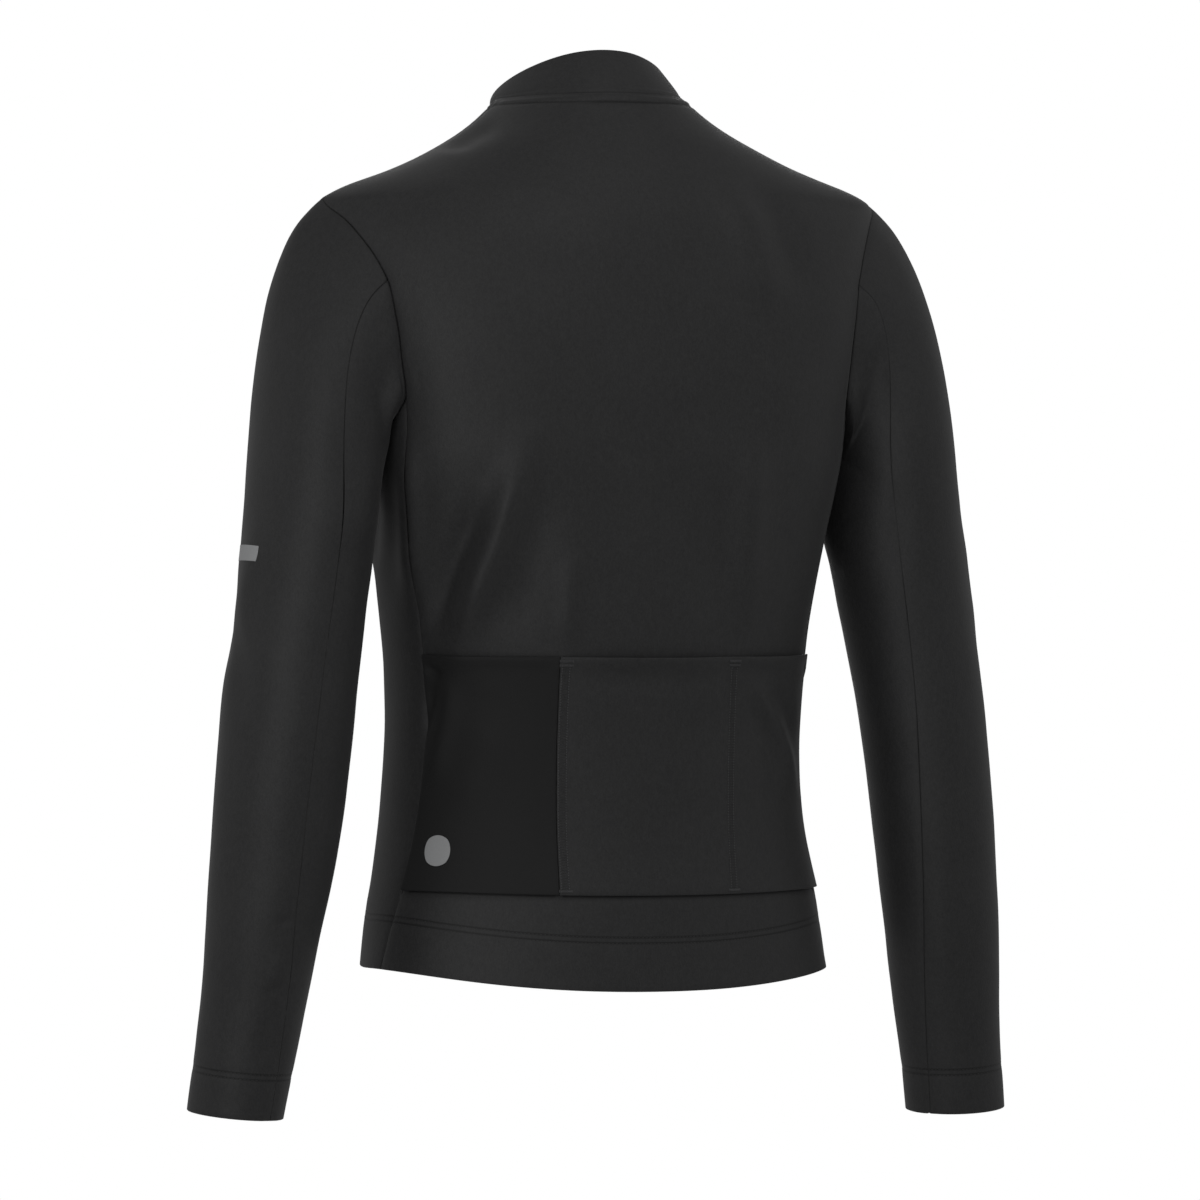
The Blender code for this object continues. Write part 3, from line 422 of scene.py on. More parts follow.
def distances(tree, points):
    """How far each point is from the nearest in a tree, in mm."""
    return np.array([tree.find(point)[2] for point in points]) / MM


def bell(distance, reach):
    return np.exp(-((distance / reach) ** 2))


def groove(distance, shape):
    """How deep a groove is at a distance, from its depth, its place and its half width."""
    depth, place, half_width = shape
    return depth * bell(distance - place, half_width)


def step_down(distance, start, end):
    """1 before start, 0 after end, and smooth between."""
    share = np.clip((end - distance) / (end - start), 0, 1)
    return share * share * (3 - 2 * share)


# ================================================================ the cloth's net
def cloth_net(name):
    """A copy of a solid's net, with its loose triangles joined up into four-sided faces."""
    net = put_in_scene(f"{name}_cloth", frame["nodes"][name].data.copy())
    only(net)
    edit_whole()
    bpy.ops.mesh.customdata_custom_splitnormals_clear()
    bpy.ops.mesh.remove_doubles(threshold=SAME_POINT * MM)
    bpy.ops.mesh.mark_sharp(clear=True)
    bpy.ops.mesh.tris_convert_to_quads(
        face_threshold=math.radians(JOIN_TURN),
        shape_threshold=math.radians(JOIN_SKEW),
        topology_influence=JOIN_FLOW,
    )
    bpy.ops.object.mode_set(mode="OBJECT")
    return net


def mark_edges(name, net, thickest):
    """Keeps the rim sharp, and writes three values at each point.

    outward is the way out of the garment, depth is 0 on the outside and 1 on the inside, and on_rim is 1
    along the edges of the cloth.
    """
    build = bmesh.new()
    build.from_mesh(net.data)
    crease = build.edges.layers.float.new("crease_edge")
    outward = build.verts.layers.float_vector.new("outward")
    depth = build.verts.layers.float.new("depth")
    on_rim = build.verts.layers.float.new("on_rim")
    outside = points_away(build) if name == "collar" else points_outside(build, thickest)
    rim = {
        face for face in build.faces if 0 < sum(vert in outside for vert in face.verts) < len(face.verts)
    }
    for face in rim:
        for vert in face.verts:
            vert[on_rim] = 1.0
        for edge in face.edges:
            along = (edge.verts[0] in outside) == (edge.verts[1] in outside)
            if along or edge.calc_face_angle(0) > math.radians(SHARP_RIM):
                edge[crease] = 1.0
    for vert in build.verts:
        beside = [face for face in vert.link_faces if face not in rim] or vert.link_faces
        facing = sum((face.normal for face in beside), Vector()).normalized()
        vert[outward] = facing * (1 if vert in outside else -1)
        vert[depth] = 0.0 if vert in outside else 1.0
    build.to_mesh(net.data)
    build.free()


def points_away(build):
    """The points of the collar's outside, where its faces look away from the neck's middle."""
    found = set()
    for vert in build.verts:
        facing = sum((face.normal * face.calc_area() for face in vert.link_faces), Vector())
        if facing.dot(Vector((vert.co.x, vert.co.y + NECK_MIDDLE * MM, 0))) > 0:
            found.add(vert)
    return found


def points_outside(build, thickest):
    """The points of the outside: the larger side, or on flat cloth the one that faces away from the body."""
    through = {edge for edge in build.edges if edge.calc_length() < thickest * MM}
    rim = {face for face in build.faces if sum(edge in through for edge in face.edges) >= 2}
    first_side = one_side(build, rim)
    second_side = set(build.faces) - rim - first_side
    first, second = (sum(face.calc_area() for face in side) for side in (first_side, second_side))
    if abs(first - second) > SAME_AREA * first:
        first_is_outer = first > second
    else:
        first_is_outer = sum(face.normal.y * face.calc_center_median().y for face in first_side) > 0
    return {vert for face in (first_side if first_is_outer else second_side) for vert in face.verts}


def one_side(build, rim):
    """The faces on one side of the cloth."""
    waiting = [next(face for face in build.faces if face not in rim)]
    found = set(waiting)
    while waiting:
        for edge in waiting.pop().edges:
            beyond = [face for face in edge.link_faces if face not in rim and face not in found]
            found.update(beyond)
            waiting += beyond
    return found


def smooth_net(net, halvings):
    """Halves the net's faces on a smooth surface that still runs through the solid's points."""
    modifier = net.modifiers.new("smooth", "SUBSURF")
    modifier.levels = modifier.render_levels = 1
    aim = points_of(net.data)
    cage = aim.copy()
    for _ in range(CAGE_STEPS):
        move_points(net.data, cage)
        bpy.context.view_layer.update()
        seen = net.evaluated_get(bpy.context.evaluated_depsgraph_get())
        cage += aim - points_of(seen.to_mesh())[: len(aim)]
        seen.to_mesh_clear()
    move_points(net.data, cage)
    modifier.levels = modifier.render_levels = halvings
    apply_modifiers(net)


def plain_rim(net):
    """Takes out the rows of points inside the rim, so that its two edges can be rolled."""
    build = bmesh.new()
    build.from_mesh(net.data)
    depth = build.verts.layers.float["depth"]
    inner = [
        edge
        for edge in build.edges
        if all(0.01 < vert[depth] < 0.99 for vert in edge.verts)
        and abs(edge.verts[0][depth] - edge.verts[1][depth]) < 0.01
    ]
    bmesh.ops.dissolve_edges(build, edges=inner, use_verts=True)
    build.to_mesh(net.data)
    build.free()


# ================================================================ places on the garment
def surface_of(some):
    """Trees of the faces of some pieces, for casting rays at them."""
    bpy.context.view_layer.update()
    graph = bpy.context.evaluated_depsgraph_get()
    return [BVHTree.FromObject(piece, graph) for piece in some]


def first_hit(surface, start, direction):
    """The point and normal where a ray first meets a surface."""
    hits = [tree.ray_cast(start, direction) for tree in surface]
    hits = [hit for hit in hits if hit[0] is not None]
    return min(hits, key=lambda hit: hit[3])[:2] if hits else (None, None)


def nearest(surface, point):
    """The point of a surface that is nearest to a point, and the normal there."""
    return min((tree.find_nearest(point) for tree in surface), key=lambda hit: hit[3])[:2]


def axes(azimuth):
    """To the right and away from a viewer at an azimuth."""
    turn = math.radians(azimuth)
    return Vector((math.cos(turn), math.sin(turn), 0)), Vector((-math.sin(turn), math.cos(turn), 0))


def seen_at(surface, azimuth, across, up):
    """The point and normal first met in a view, across and up in mm."""
    right, away = axes(azimuth)
    return first_hit(surface, right * across * MM + Vector((0, 0, up * MM)) - away, away)


def lengths_along(points):
    """How far each point of a line is from its start."""
    return np.cumsum([0.0] + [(after - before).length for before, after in zip(points, points[1:])])


def place_along(lengths, place):
    """Which stretch of a line a place is on, and its share of that stretch."""
    number = min(int(np.searchsorted(lengths, place, side="right")) - 1, len(lengths) - 2)
    return number, (place - lengths[number]) / max(lengths[number + 1] - lengths[number], 1e-9)


def walk(corners, step):
    """Points a step apart along a smooth line through the corners."""
    ends = [corners[0] * 2 - corners[1], *corners, corners[-1] * 2 - corners[-2]]
    fine = []
    for before, start, end, after in zip(ends, ends[1:], ends[2:], ends[3:]):
        pull, swing = end - before, before * 2 - start * 5 + end * 4 - after
        bend = start * 3 - before - end * 3 + after
        for share in np.linspace(0, 1, WALK_STEPS, endpoint=False):
            fine.append(start + (pull * share + swing * share**2 + bend * share**3) * 0.5)
    fine.append(corners[-1])
    lengths = lengths_along(fine)
    count = max(int(round(lengths[-1] / step)), 1)
    found = []
    for place in np.linspace(0, lengths[-1], count + 1):
        number, share = place_along(lengths, place)
        found.append(fine[number].lerp(fine[number + 1], share))
    return found


# ================================================================ how the cloth is moved
def outer_edge(mesh):
    """Points close together along the outer edge of a piece of cloth."""
    on_edge = (read_value(mesh, "on_rim") > 0.99) & (read_value(mesh, "depth") < 0.01)
    ends = np.empty(len(mesh.edges) * 2, np.int32)
    mesh.edges.foreach_get("vertices", ends)
    ends = ends.reshape(-1, 2)
    ends = ends[on_edge[ends].all(axis=1)]
    points = points_of(mesh)
    shares = np.linspace(0, 1, 5)[:4, None, None]
    return (points[ends[:, 0]] * (1 - shares) + points[ends[:, 1]] * shares).reshape(-1, 3)


def seams_and_edges(pieces):
    """The outer edges' points of the panels: those sewn to another panel, by kind, and those left free."""
    edges = {name: outer_edge(pieces[name].data) for name in PANELS}
    sewn, free = {"neck": [], "arm": [], "side": [], "sleeve": []}, {}
    for name, here in edges.items():
        left = np.ones(len(here), bool)
        for other in PANELS:
            if other == name:
                continue
            near = distances(tree_of(edges[other]), here) < SEAM_NEAR
            sleeves = sum("sleeve" in one for one in (name, other))
            kind = "neck" if "collar" in (name, other) else ("side", "arm", "sleeve")[sleeves]
            sewn[kind].append(here[near])
            left &= ~near
        free[name] = here[left]
    return {kind: np.vstack(points) for kind, points in sewn.items()}, free


def close_seams(pieces):
    """Brings the edges of sewn pieces together, each by half the gap between them."""
    edges = {name: outer_edge(pieces[name].data) for name in PANELS}
    for name, here in edges.items():
        others = np.vstack([points for other, points in edges.items() if other != name])
        own, beyond = tree_of(here), tree_of(others)
        mesh = pieces[name].data
        points = points_of(mesh)
        for number in np.flatnonzero(read_value(mesh, "on_rim") > 0.5):
            edge = own.find(points[number])[0]
            nearest, _, gap = beyond.find(edge)
            if gap < SEAM_NEAR * MM:
                points[number] += (np.array(nearest) - np.array(edge)) * 0.5
        move_points(mesh, points)


def crease_paths(pieces):
    """For each crease whether it is in a sleeve, its rise, half width, and its path on the cloth."""
    body = surface_of([piece for name, piece in pieces.items() if "sleeve" not in name])
    sleeves = {side: surface_of([pieces[name] for name in names]) for side, names in SLEEVES.items()}
    paths = []
    rows = [(azimuth, *row) for azimuth, group in CREASES.items() for row in group]
    for azimuth, name, rise, half_width, corners in rows:
        part = name.split(",")[0]
        in_sleeve = any(word in part for word in ("arm", "elbow", "sleeve"))
        surface = sleeves[part.split()[0]] if in_sleeve else body
        points = []
        for place in walk([Vector((*corner, 0)) for corner in corners], CREASE_STEP):
            point, _ = seen_at(surface, azimuth, place.x, place.y)
            if point is None:
                print("a crease leaves the cloth:", name, tuple(place))
                continue
            points.append(point)
        paths.append((in_sleeve, rise, half_width, np.array([tuple(point) for point in points])))
    return paths


def crease_height(name, points, paths):
    """How far each point of a piece moves out for all its creases together, in mm."""
    height = np.zeros(len(points))
    for in_sleeve, rise, half_width, path in paths:
        if in_sleeve != name.startswith("sleeve"):
            continue
        reach = CREASE_REACH * half_width * MM
        near = np.flatnonzero(
            np.all((points > path.min(0) - reach) & (points < path.max(0) + reach), axis=1)
        )
        if not len(near):
            continue
        here = points[near]
        best = np.full(len(near), 1e9)
        place = np.zeros(len(near))
        for number, (start, end) in enumerate(zip(path, path[1:])):
            along = end - start
            share = np.clip(((here - start) @ along) / (along @ along), 0, 1)
            away = np.linalg.norm(here - start - share[:, None] * along, axis=1)
            closer = away < best
            best[closer] = away[closer]
            place[closer] = (number + share[closer]) / (len(path) - 1)
        fade = np.clip(np.minimum(place, 1 - place) / CREASE_TAPER, 0, 1)
        fade = CREASE_END + (1 - CREASE_END) * fade * fade * (3 - 2 * fade)
        height[near] += rise * bell(best / MM, half_width) * fade * (best < reach)
    return height


def slack_height(points):
    """The low unevenness of cloth that lies over a body, in mm."""
    height = np.zeros(len(points))
    for length, rise in SLACK_WAVES:
        scale = 1 / (length * MM)
        height += rise * np.array([noise.noise(Vector(point) * scale) for point in points])
    return height


def shape_cloth(pieces):
    """Moves all cloth in or out, and writes how far each point is from the lines that are stitched, and from
    the lines of painted shadow under the pockets' feet.
    """
    close_seams(pieces)
    sewn, free = seams_and_edges(pieces)
    neck, sleeve_seams = tree_of(sewn["neck"]), tree_of(sewn["sleeve"])
    seams = tree_of(np.vstack([sewn["neck"], sewn["arm"], sewn["side"]]))
    hem_edge = tree_of(lower_edge(free, BODY_PANELS))
    cuff_edge = tree_of(np.vstack([lower_edge(free, names) for names in SLEEVES.values()]))
    mouths = tree_of(np.vstack([mouth_points(pieces[name].data) for name in pieces if "pocket" in name]))
    paths = crease_paths(pieces)
    armholes = tree_of(sewn["arm"])
    for name, piece in pieces.items():
        mesh = piece.data
        points = points_of(mesh)
        to_seam, to_sleeve_seam = distances(seams, points), distances(sleeve_seams, points)
        height = crease_height(name, points, paths)
        if name.startswith("sleeve"):
            height *= 1 - bell(distances(armholes, points), ARMHOLE_HOLD)
        height += slack_height(points)
        height -= SEAM_PULL * bell(to_seam, SEAM_REACH) + SLEEVE_SEAM_PULL * bell(to_sleeve_seam, SEAM_REACH)
        # widens the seam's dark line into a painted shadow where the right arm stands off the body
        to_seam /= 1 + GAP_SHADOW_WIDENING * open_gap(points)
        over_hem, under_neck, under_pocket = (np.full(len(points), FAR) for _ in range(3))
        if name in BODY_PANELS:
            under_neck = distances(neck, points) - NECK_BAND
            height += NECK_BAND_RISE * step_down(under_neck, *NECK_BAND_EDGE)
            height -= groove(under_neck, NECK_GROOVE)
            over_hem = distances(hem_edge, points) - HEM_HEIGHT
        elif name.startswith("sleeve"):
            over_hem = distances(cuff_edge, points) - CUFF_HEIGHT
        if name == "back":
            # under_pocket also feeds the dark line under the pockets' feet, which is painted shadow
            under_pocket = foot_height(pieces, points) - points[:, 2] / MM
            height -= groove(under_pocket, FOOT_GROOVE)
        if name.startswith("pocket"):
            to_mouth = distances(mouths, points)
            height += MOUTH_HEM_RISE * step_down(to_mouth, *MOUTH_HEM)
            height += mouth_slack(points, to_mouth)
        depth, half_width = TWIN_DIP
        height -= groove(over_hem, (depth, TWIN_SPACING / 2, half_width))
        outward = read_vector(mesh, "outward")
        outward /= np.maximum(np.linalg.norm(outward, axis=1), 1e-9)[:, None]
        move_points(mesh, points + outward * (height * MM)[:, None])
        for label, values in (
            ("to_seam", to_seam),
            ("to_sleeve_seam", to_sleeve_seam),
            ("over_hem", over_hem),
            ("under_neck", under_neck),
            ("under_pocket", under_pocket),
        ):
            write_value(mesh, label, values)
    return free


def lower_edge(free, names):
    """The points of the hem's or of a cuff's free edge."""
    points = np.vstack([free[name] for name in names])
    beside_zip = (np.abs(points[:, 0]) < BESIDE_ZIP * MM) & (points[:, 1] < 0)
    return points[(points[:, 2] < LOW_EDGES * MM) & ~beside_zip]


def open_gap(points):
    """1 where the right arm stands off the body behind the armhole, falling to 0 up the shoulder; there the
    seam's dark line is widened into painted shadow.
    """
    x, y, z = points.T / MM
    low, high = GAP_UP
    return np.clip((high - z) / GAP_GROWTH, 0, 1) * (x < GAP_SIDE) * (y > 0) * (z > low)


def foot_height(pieces, points):
    """The height in mm of the pockets' lower edge over each point of the back, where they cover it."""
    feet = []
    for name in ("pocket_left", "pocket_centre_right"):
        edge = outer_edge(pieces[name].data)
        feet.append(edge[edge[:, 2] < LOW_EDGES * MM])
    feet = np.vstack(feet)
    feet = feet[np.argsort(feet[:, 0])]
    height = np.interp(points[:, 0], feet[:, 0], feet[:, 2]) / MM
    beside = (points[:, 0] < feet[0, 0]) | (points[:, 0] > feet[-1, 0]) | (points[:, 1] < 0)
    height[beside] = FAR
    return height


def mouth_slack(points, to_mouth):
    """How far the pockets' mouths stand off and sink again under the edge, in mm."""
    height = np.zeros(len(points))
    for right_end, left_end, rise in MOUTH_SLACK:
        share = np.clip((points[:, 0] / MM - right_end) / (left_end - right_end), 0, 1)
        across = np.sin(share * math.pi) ** MOUTH_SLACK_FLATNESS
        height += rise * across * (step_down(to_mouth, 0, MOUTH_SLACK_REACH) - groove(to_mouth, MOUTH_SINK))
    return height


def mouth_points(mesh):
    """The points along the top edge of a pocket piece."""
    points = outer_edge(mesh)
    return points[points[:, 2] > MOUTH_UP * MM]


def roll_edges(piece):
    """Rounds both edges of the rim, as cloth does where it is turned or sewn."""
    plain_rim(piece)
    modifier = piece.modifiers.new("rolled edges", "BEVEL")
    modifier.width = EDGE_ROLL * MM
    modifier.segments = 2
    modifier.limit_method = "ANGLE"
    modifier.angle_limit = math.radians(SHARP_ROLLED)
    modifier.use_clamp_overlap = True
    apply_modifiers(piece)
    only(piece)
    bpy.ops.object.shade_smooth()


# ================================================================ finishes
def shader_of(material):
    return material.node_tree.nodes["Principled BSDF"]


def new_material(name, roughness, sheen=0.0, sheen_roughness=0.5, specular=0.5, metallic=0.0):
    material = bpy.data.materials.new(name)
    material.use_nodes = True
    shader = shader_of(material)
    shader.inputs["Roughness"].default_value = roughness
    shader.inputs["Metallic"].default_value = metallic
    shader.inputs["Specular IOR Level"].default_value = specular
    shader.inputs["Sheen Weight"].default_value = sheen
    shader.inputs["Sheen Roughness"].default_value = sheen_roughness
    return material


def put(tree, kind, **values):
    """A new shader node with some of its own settings."""
    made = tree.nodes.new(kind)
    for name, value in values.items():
        setattr(made, name, value)
    return made


def math_node(tree, operation, first, second=None, clamp=False):
    made = put(tree, "ShaderNodeMath", operation=operation, use_clamp=clamp)
    for socket, value in zip(made.inputs, (first, second)):
        if value is None:
            continue
        if isinstance(value, (int, float)):
            socket.default_value = value
        else:
            tree.links.new(value, socket)
    return made.outputs[0]


def noise_node(tree, position, size_mm, detail=2.0, roughness=0.5):
    made = put(tree, "ShaderNodeTexNoise")
    made.inputs["Scale"].default_value = 1000 / size_mm
    made.inputs["Detail"].default_value = detail
    made.inputs["Roughness"].default_value = roughness
    tree.links.new(position, made.inputs["Vector"])
    return made.outputs["Fac"]


def group(name, inputs, outputs):
    """An empty node group with named sockets, and its own input and output nodes."""
    made = bpy.data.node_groups.new(name, "ShaderNodeTree")
    for label, kind, value in inputs:
        socket = made.interface.new_socket(label, in_out="INPUT", socket_type=kind)
        if value is not None:
            socket.default_value = value
    for label, kind in outputs:
        made.interface.new_socket(label, in_out="OUTPUT", socket_type=kind)
    return made, put(made, "NodeGroupInput"), put(made, "NodeGroupOutput")


def nap_group():
    """The fine speckle and the soft raised nap of a brushed or woven cloth."""
    made, given, result = group(
        "cloth nap",
        (
            ("Position", "NodeSocketVector", None),
            ("Speckle", "NodeSocketFloat", 0.5),
            ("Mottle", "NodeSocketFloat", 0.2),
        ),
        (("Tone", "NodeSocketFloat"), ("Height", "NodeSocketFloat")),
    )
    stretched = put(made, "ShaderNodeMapping")
    stretched.inputs["Scale"].default_value = NAP_STRETCH
    made.links.new(given.outputs["Position"], stretched.inputs["Vector"])
    place = stretched.outputs["Vector"]
    fine = noise_node(made, place, *NAP_FINE)
    coarse = noise_node(made, place, *NAP_COARSE)
    patches = noise_node(made, given.outputs["Position"], *NAP_PATCHES)
    fine_part = math_node(made, "MULTIPLY", fine, NAP_FINE_SHARE)
    coarse_part = math_node(made, "MULTIPLY", coarse, 1 - NAP_FINE_SHARE)
    both = math_node(made, "ADD", fine_part, coarse_part)
    speckle = math_node(made, "MULTIPLY", math_node(made, "SUBTRACT", both, 0.5), given.outputs["Speckle"])
    mottle = math_node(made, "MULTIPLY", math_node(made, "SUBTRACT", patches, 0.5), given.outputs["Mottle"])
    tone = math_node(made, "ADD", math_node(made, "ADD", speckle, mottle), 0.5, clamp=True)
    made.links.new(tone, result.inputs["Tone"])
    made.links.new(fine, result.inputs["Height"])
    return made


def line_group():
    """A dark sunk line where a distance in mm is near nought, and another one spacing further; its darkness
    is partly painted shade.
    """
    made, given, result = group(
        "stitched lines and painted shade",
        (
            ("Distance", "NodeSocketFloat", None),
            ("Spacing", "NodeSocketFloat", TWIN_SPACING),
            ("Half width", "NodeSocketFloat", 0.7),
        ),
        (("Mask", "NodeSocketFloat"),),
    )
    distance = given.outputs["Distance"]
    beyond = math_node(made, "SUBTRACT", distance, given.outputs["Spacing"])
    first, second = (math_node(made, "ABSOLUTE", value) for value in (distance, beyond))
    nearest = math_node(made, "MINIMUM", first, second)
    mask = put(made, "ShaderNodeMapRange", interpolation_type="SMOOTHSTEP")
    made.links.new(nearest, mask.inputs["Value"])
    made.links.new(given.outputs["Half width"], mask.inputs["From Max"])
    mask.inputs["To Min"].default_value = 1.0
    mask.inputs["To Max"].default_value = 0.0
    made.links.new(mask.outputs["Result"], result.inputs["Mask"])
    return made


GROUPS = {}


def place_group(tree, name):
    if name not in GROUPS:
        GROUPS[name] = {"nap": nap_group, "lines": line_group}[name]()
    return put(tree, "ShaderNodeGroup", node_tree=GROUPS[name])


def mix_colours(tree, factor, dark, light):
    made = put(tree, "ShaderNodeMix", data_type="RGBA")
    tree.links.new(factor, made.inputs["Factor"])
    for socket, value in (("A", dark), ("B", light)):
        found = [i for i in made.inputs if i.name == socket and i.type == "RGBA"][0]
        if isinstance(value, tuple):
            found.default_value = (*value, 1)
        else:
            tree.links.new(value, found)
    return [output for output in made.outputs if output.type == "RGBA"][0]


def bump(tree, shader, height, strength, distance_mm):
    made = put(tree, "ShaderNodeBump")
    made.inputs["Strength"].default_value = strength
    made.inputs["Distance"].default_value = distance_mm * MM
    tree.links.new(height, made.inputs["Height"])
    tree.links.new(made.outputs["Normal"], shader.inputs["Normal"])


def cloth_material(name, dark, light, roughness, speckle, mottle, sheen, bump_strength):
    """A knitted or woven cloth: its nap, and the dark lines of its seams and stitching, partly painted
    shade.
    """
    material = new_material(name, roughness, sheen, 0.5, CLOTH_SHINE)
    tree, shader = material.node_tree, shader_of(material)
    position = put(tree, "ShaderNodeTexCoord").outputs["Object"]
    nap = place_group(tree, "nap")
    tree.links.new(position, nap.inputs["Position"])
    nap.inputs["Speckle"].default_value = speckle
    nap.inputs["Mottle"].default_value = mottle
    colour = mix_colours(tree, nap.outputs["Tone"], dark, light)
    height = nap.outputs["Height"]
    shade = None
    # each line darkens the colour: painted shade in the seams' and stitches' grooves, and painted shadow
    # under the pockets' feet and at the right armhole's foot
    for label, spacing, half_width, share in SEAM_LINES_AND_PAINTED_SHADE:
        lines = place_group(tree, "lines")
        distance = put(tree, "ShaderNodeAttribute", attribute_name=label).outputs["Fac"]
        tree.links.new(distance, lines.inputs["Distance"])
        lines.inputs["Spacing"].default_value = spacing
        lines.inputs["Half width"].default_value = half_width
        one = math_node(tree, "MULTIPLY", lines.outputs["Mask"], share)
        shade = one if shade is None else math_node(tree, "MAXIMUM", shade, one)
    colour = mix_colours(tree, shade, colour, tuple(value * LINE_SHADE for value in dark))
    height = math_node(tree, "SUBTRACT", height, math_node(tree, "MULTIPLY", shade, LINE_DEPTH))
    tree.links.new(colour, shader.inputs["Base Color"])
    bump(tree, shader, height, bump_strength, NAP_DEPTH)
    return material


def plain_material(name, dark, light, roughness, size_mm, bump_mm, **more):
    """A hard or thread finish with a fine uneven surface."""
    material = new_material(name, roughness, **more)
    tree, shader = material.node_tree, shader_of(material)
    position = put(tree, "ShaderNodeTexCoord").outputs["Object"]
    grain = noise_node(tree, position, size_mm, 3.0, 0.6)
    tree.links.new(mix_colours(tree, grain, dark, light), shader.inputs["Base Color"])
    bump(tree, shader, grain, 0.4, bump_mm)
    return material


def make_materials():
    """Every finish by its slot's name. The two colours are the darkest and the lightest."""
    return {
        "jersey": cloth_material(
            "brushed jersey", (0.0125, 0.0125, 0.013), (0.030, 0.030, 0.0305),
            roughness=0.57, speckle=2.1, mottle=0.4, sheen=0.10, bump_strength=0.4,
        ),
        "smooth": cloth_material(
            "smooth stretch woven", (0.0044, 0.0044, 0.0046), (0.0086, 0.0086, 0.0088),
            roughness=0.7, speckle=0.8, mottle=0.3, sheen=0.02, bump_strength=0.3,
        ),
        "tape": cloth_material(
            "zip tape", (0.010, 0.010, 0.0105), (0.022, 0.022, 0.0225),
            roughness=0.8, speckle=0.9, mottle=0.2, sheen=0.03, bump_strength=0.6,
        ),
        "coil": plain_material(
            "zip plastic", (0.012, 0.012, 0.0125), (0.018, 0.018, 0.0185),
            roughness=0.42, size_mm=1.2, bump_mm=0.03,
        ),
        "metal": plain_material(
            "black enamel", (0.016, 0.016, 0.017), (0.024, 0.024, 0.025),
            roughness=0.3, size_mm=0.8, bump_mm=0.02,
        ),
        "thread": plain_material(
            "thread", (0.016, 0.016, 0.0165), (0.034, 0.034, 0.0345),
            roughness=0.6, size_mm=0.5, bump_mm=0.1, sheen=0.05,
        ),
        # lighter than the black thread really is: a painted highlight where the dividers' threads catch the
        # light
        "highlight_thread": plain_material(
            "thread lightened as painted highlight", (0.05, 0.05, 0.051), (0.085, 0.085, 0.087),
            roughness=0.5, size_mm=0.5, bump_mm=0.1,
        ),
        "print": plain_material(
            "reflective print", (0.34, 0.345, 0.35), (0.46, 0.465, 0.47),
            roughness=0.45, size_mm=0.6, bump_mm=0.05,
        ),
    }


# ================================================================ things repeated many times
def copy_many(name, pattern, places, material):
    """One mesh of many copies of a pattern, each turned and placed by a matrix."""
    shape = points_of(pattern.data)
    faces = [tuple(face.vertices) for face in pattern.data.polygons]
    points, joined = [], []
    for place in places:
        start = len(points) * len(shape)
        turned = shape @ np.array(place.to_3x3()).T + np.array(place.translation)
        points.append(turned)
        joined += [tuple(start + number for number in face) for face in faces]
    mesh = bpy.data.meshes.new(name)
    mesh.from_pydata(np.vstack(points).tolist(), [], joined)
    mesh.shade_smooth()
    mesh.materials.append(material)
    made = put_in_scene(name, mesh)
    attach(made, "garment")


def grain(length, width, thickness, segments=6, rings=4):
    """A short thread as it lies in the cloth: a long bead along X, its top along Z. Sizes in mm."""
    bpy.ops.mesh.primitive_uv_sphere_add(segments=segments, ring_count=rings, radius=0.5)
    made = bpy.context.object
    edit_whole()
    bpy.ops.transform.rotate(value=math.pi / 2, orient_axis="Y", center_override=(0, 0, 0))
    bpy.ops.transform.resize(value=(length * MM, width * MM, thickness * MM))
    bpy.ops.object.mode_set(mode="OBJECT")
    return made


def stood(point, normal, along):
    """A matrix at a point with X along a line and Z out of the surface."""
    forward = (along - normal * along.dot(normal)).normalized()
    side = normal.cross(forward)
    turned = Matrix((forward, side, normal)).transposed().to_4x4()
    return Matrix.Translation(point) @ turned


def stitch_places(path, pitch, sunk):
    """A matrix for each stitch along a path of points with normals."""
    lengths = lengths_along([point for point, _ in path])
    places = []
    for place in np.arange(pitch * MM / 2, lengths[-1], pitch * MM):
        number, share = place_along(lengths, place)
        (start, start_normal), (end, end_normal) = path[number : number + 2]
        normal = start_normal.lerp(end_normal, share).normalized()
        places.append(stood(start.lerp(end, share) - normal * sunk * MM, normal, end - start))
    return places


# ================================================================ sewing
def ring_above(edge, height, surface, up):
    """A line round the garment at a height above a free edge, as points and normals on the cloth."""
    middle = Vector(edge.mean(0))
    turn = np.arctan2(edge[:, 1] - middle.y, edge[:, 0] - middle.x)
    path = []
    for number in np.argsort(turn):
        path.append(nearest(surface, Vector(edge[number]) + up * height * MM))
    thinned = path[::3]
    return thinned + [thinned[0]]


def hem_stitches(pieces, free, material):
    """Twin lines of stitches round the hem and both cuffs."""
    stitch = grain(*PLAIN_STITCH)
    body = surface_of([pieces[name] for name in BODY_PANELS])
    edge = lower_edge(free, BODY_PANELS)
    for line in range(2):
        path = ring_above(edge, HEM_HEIGHT + line * TWIN_SPACING, body, Vector((0, 0, 1)))
        places = []
        for place in stitch_places(path, STITCH_PITCH, STITCH_SUNK):
            if abs(place.translation.x) > ZIP_GAP * MM or place.translation.y > 0:
                places.append(place)
        copy_many(f"hem_stitches_{line + 1}", stitch, places, material)
    for side, names in SLEEVES.items():
        sleeve = surface_of([pieces[name] for name in names])
        cuff = lower_edge(free, names)
        points = np.vstack([points_of(pieces[name].data) for name in names])
        low, high = CUFF_TOP
        ring = points[(points[:, 2] > low * MM) & (points[:, 2] < high * MM)]
        up = (Vector(ring.mean(0)) - Vector(cuff.mean(0))).normalized()
        for line in range(2):
            path = ring_above(cuff, CUFF_HEIGHT + line * TWIN_SPACING, sleeve, up)
            places = stitch_places(path, STITCH_PITCH, STITCH_SUNK)
            copy_many(f"cuff_stitches_{side}_{line + 1}", stitch, places, material)
    bpy.data.objects.remove(stitch)


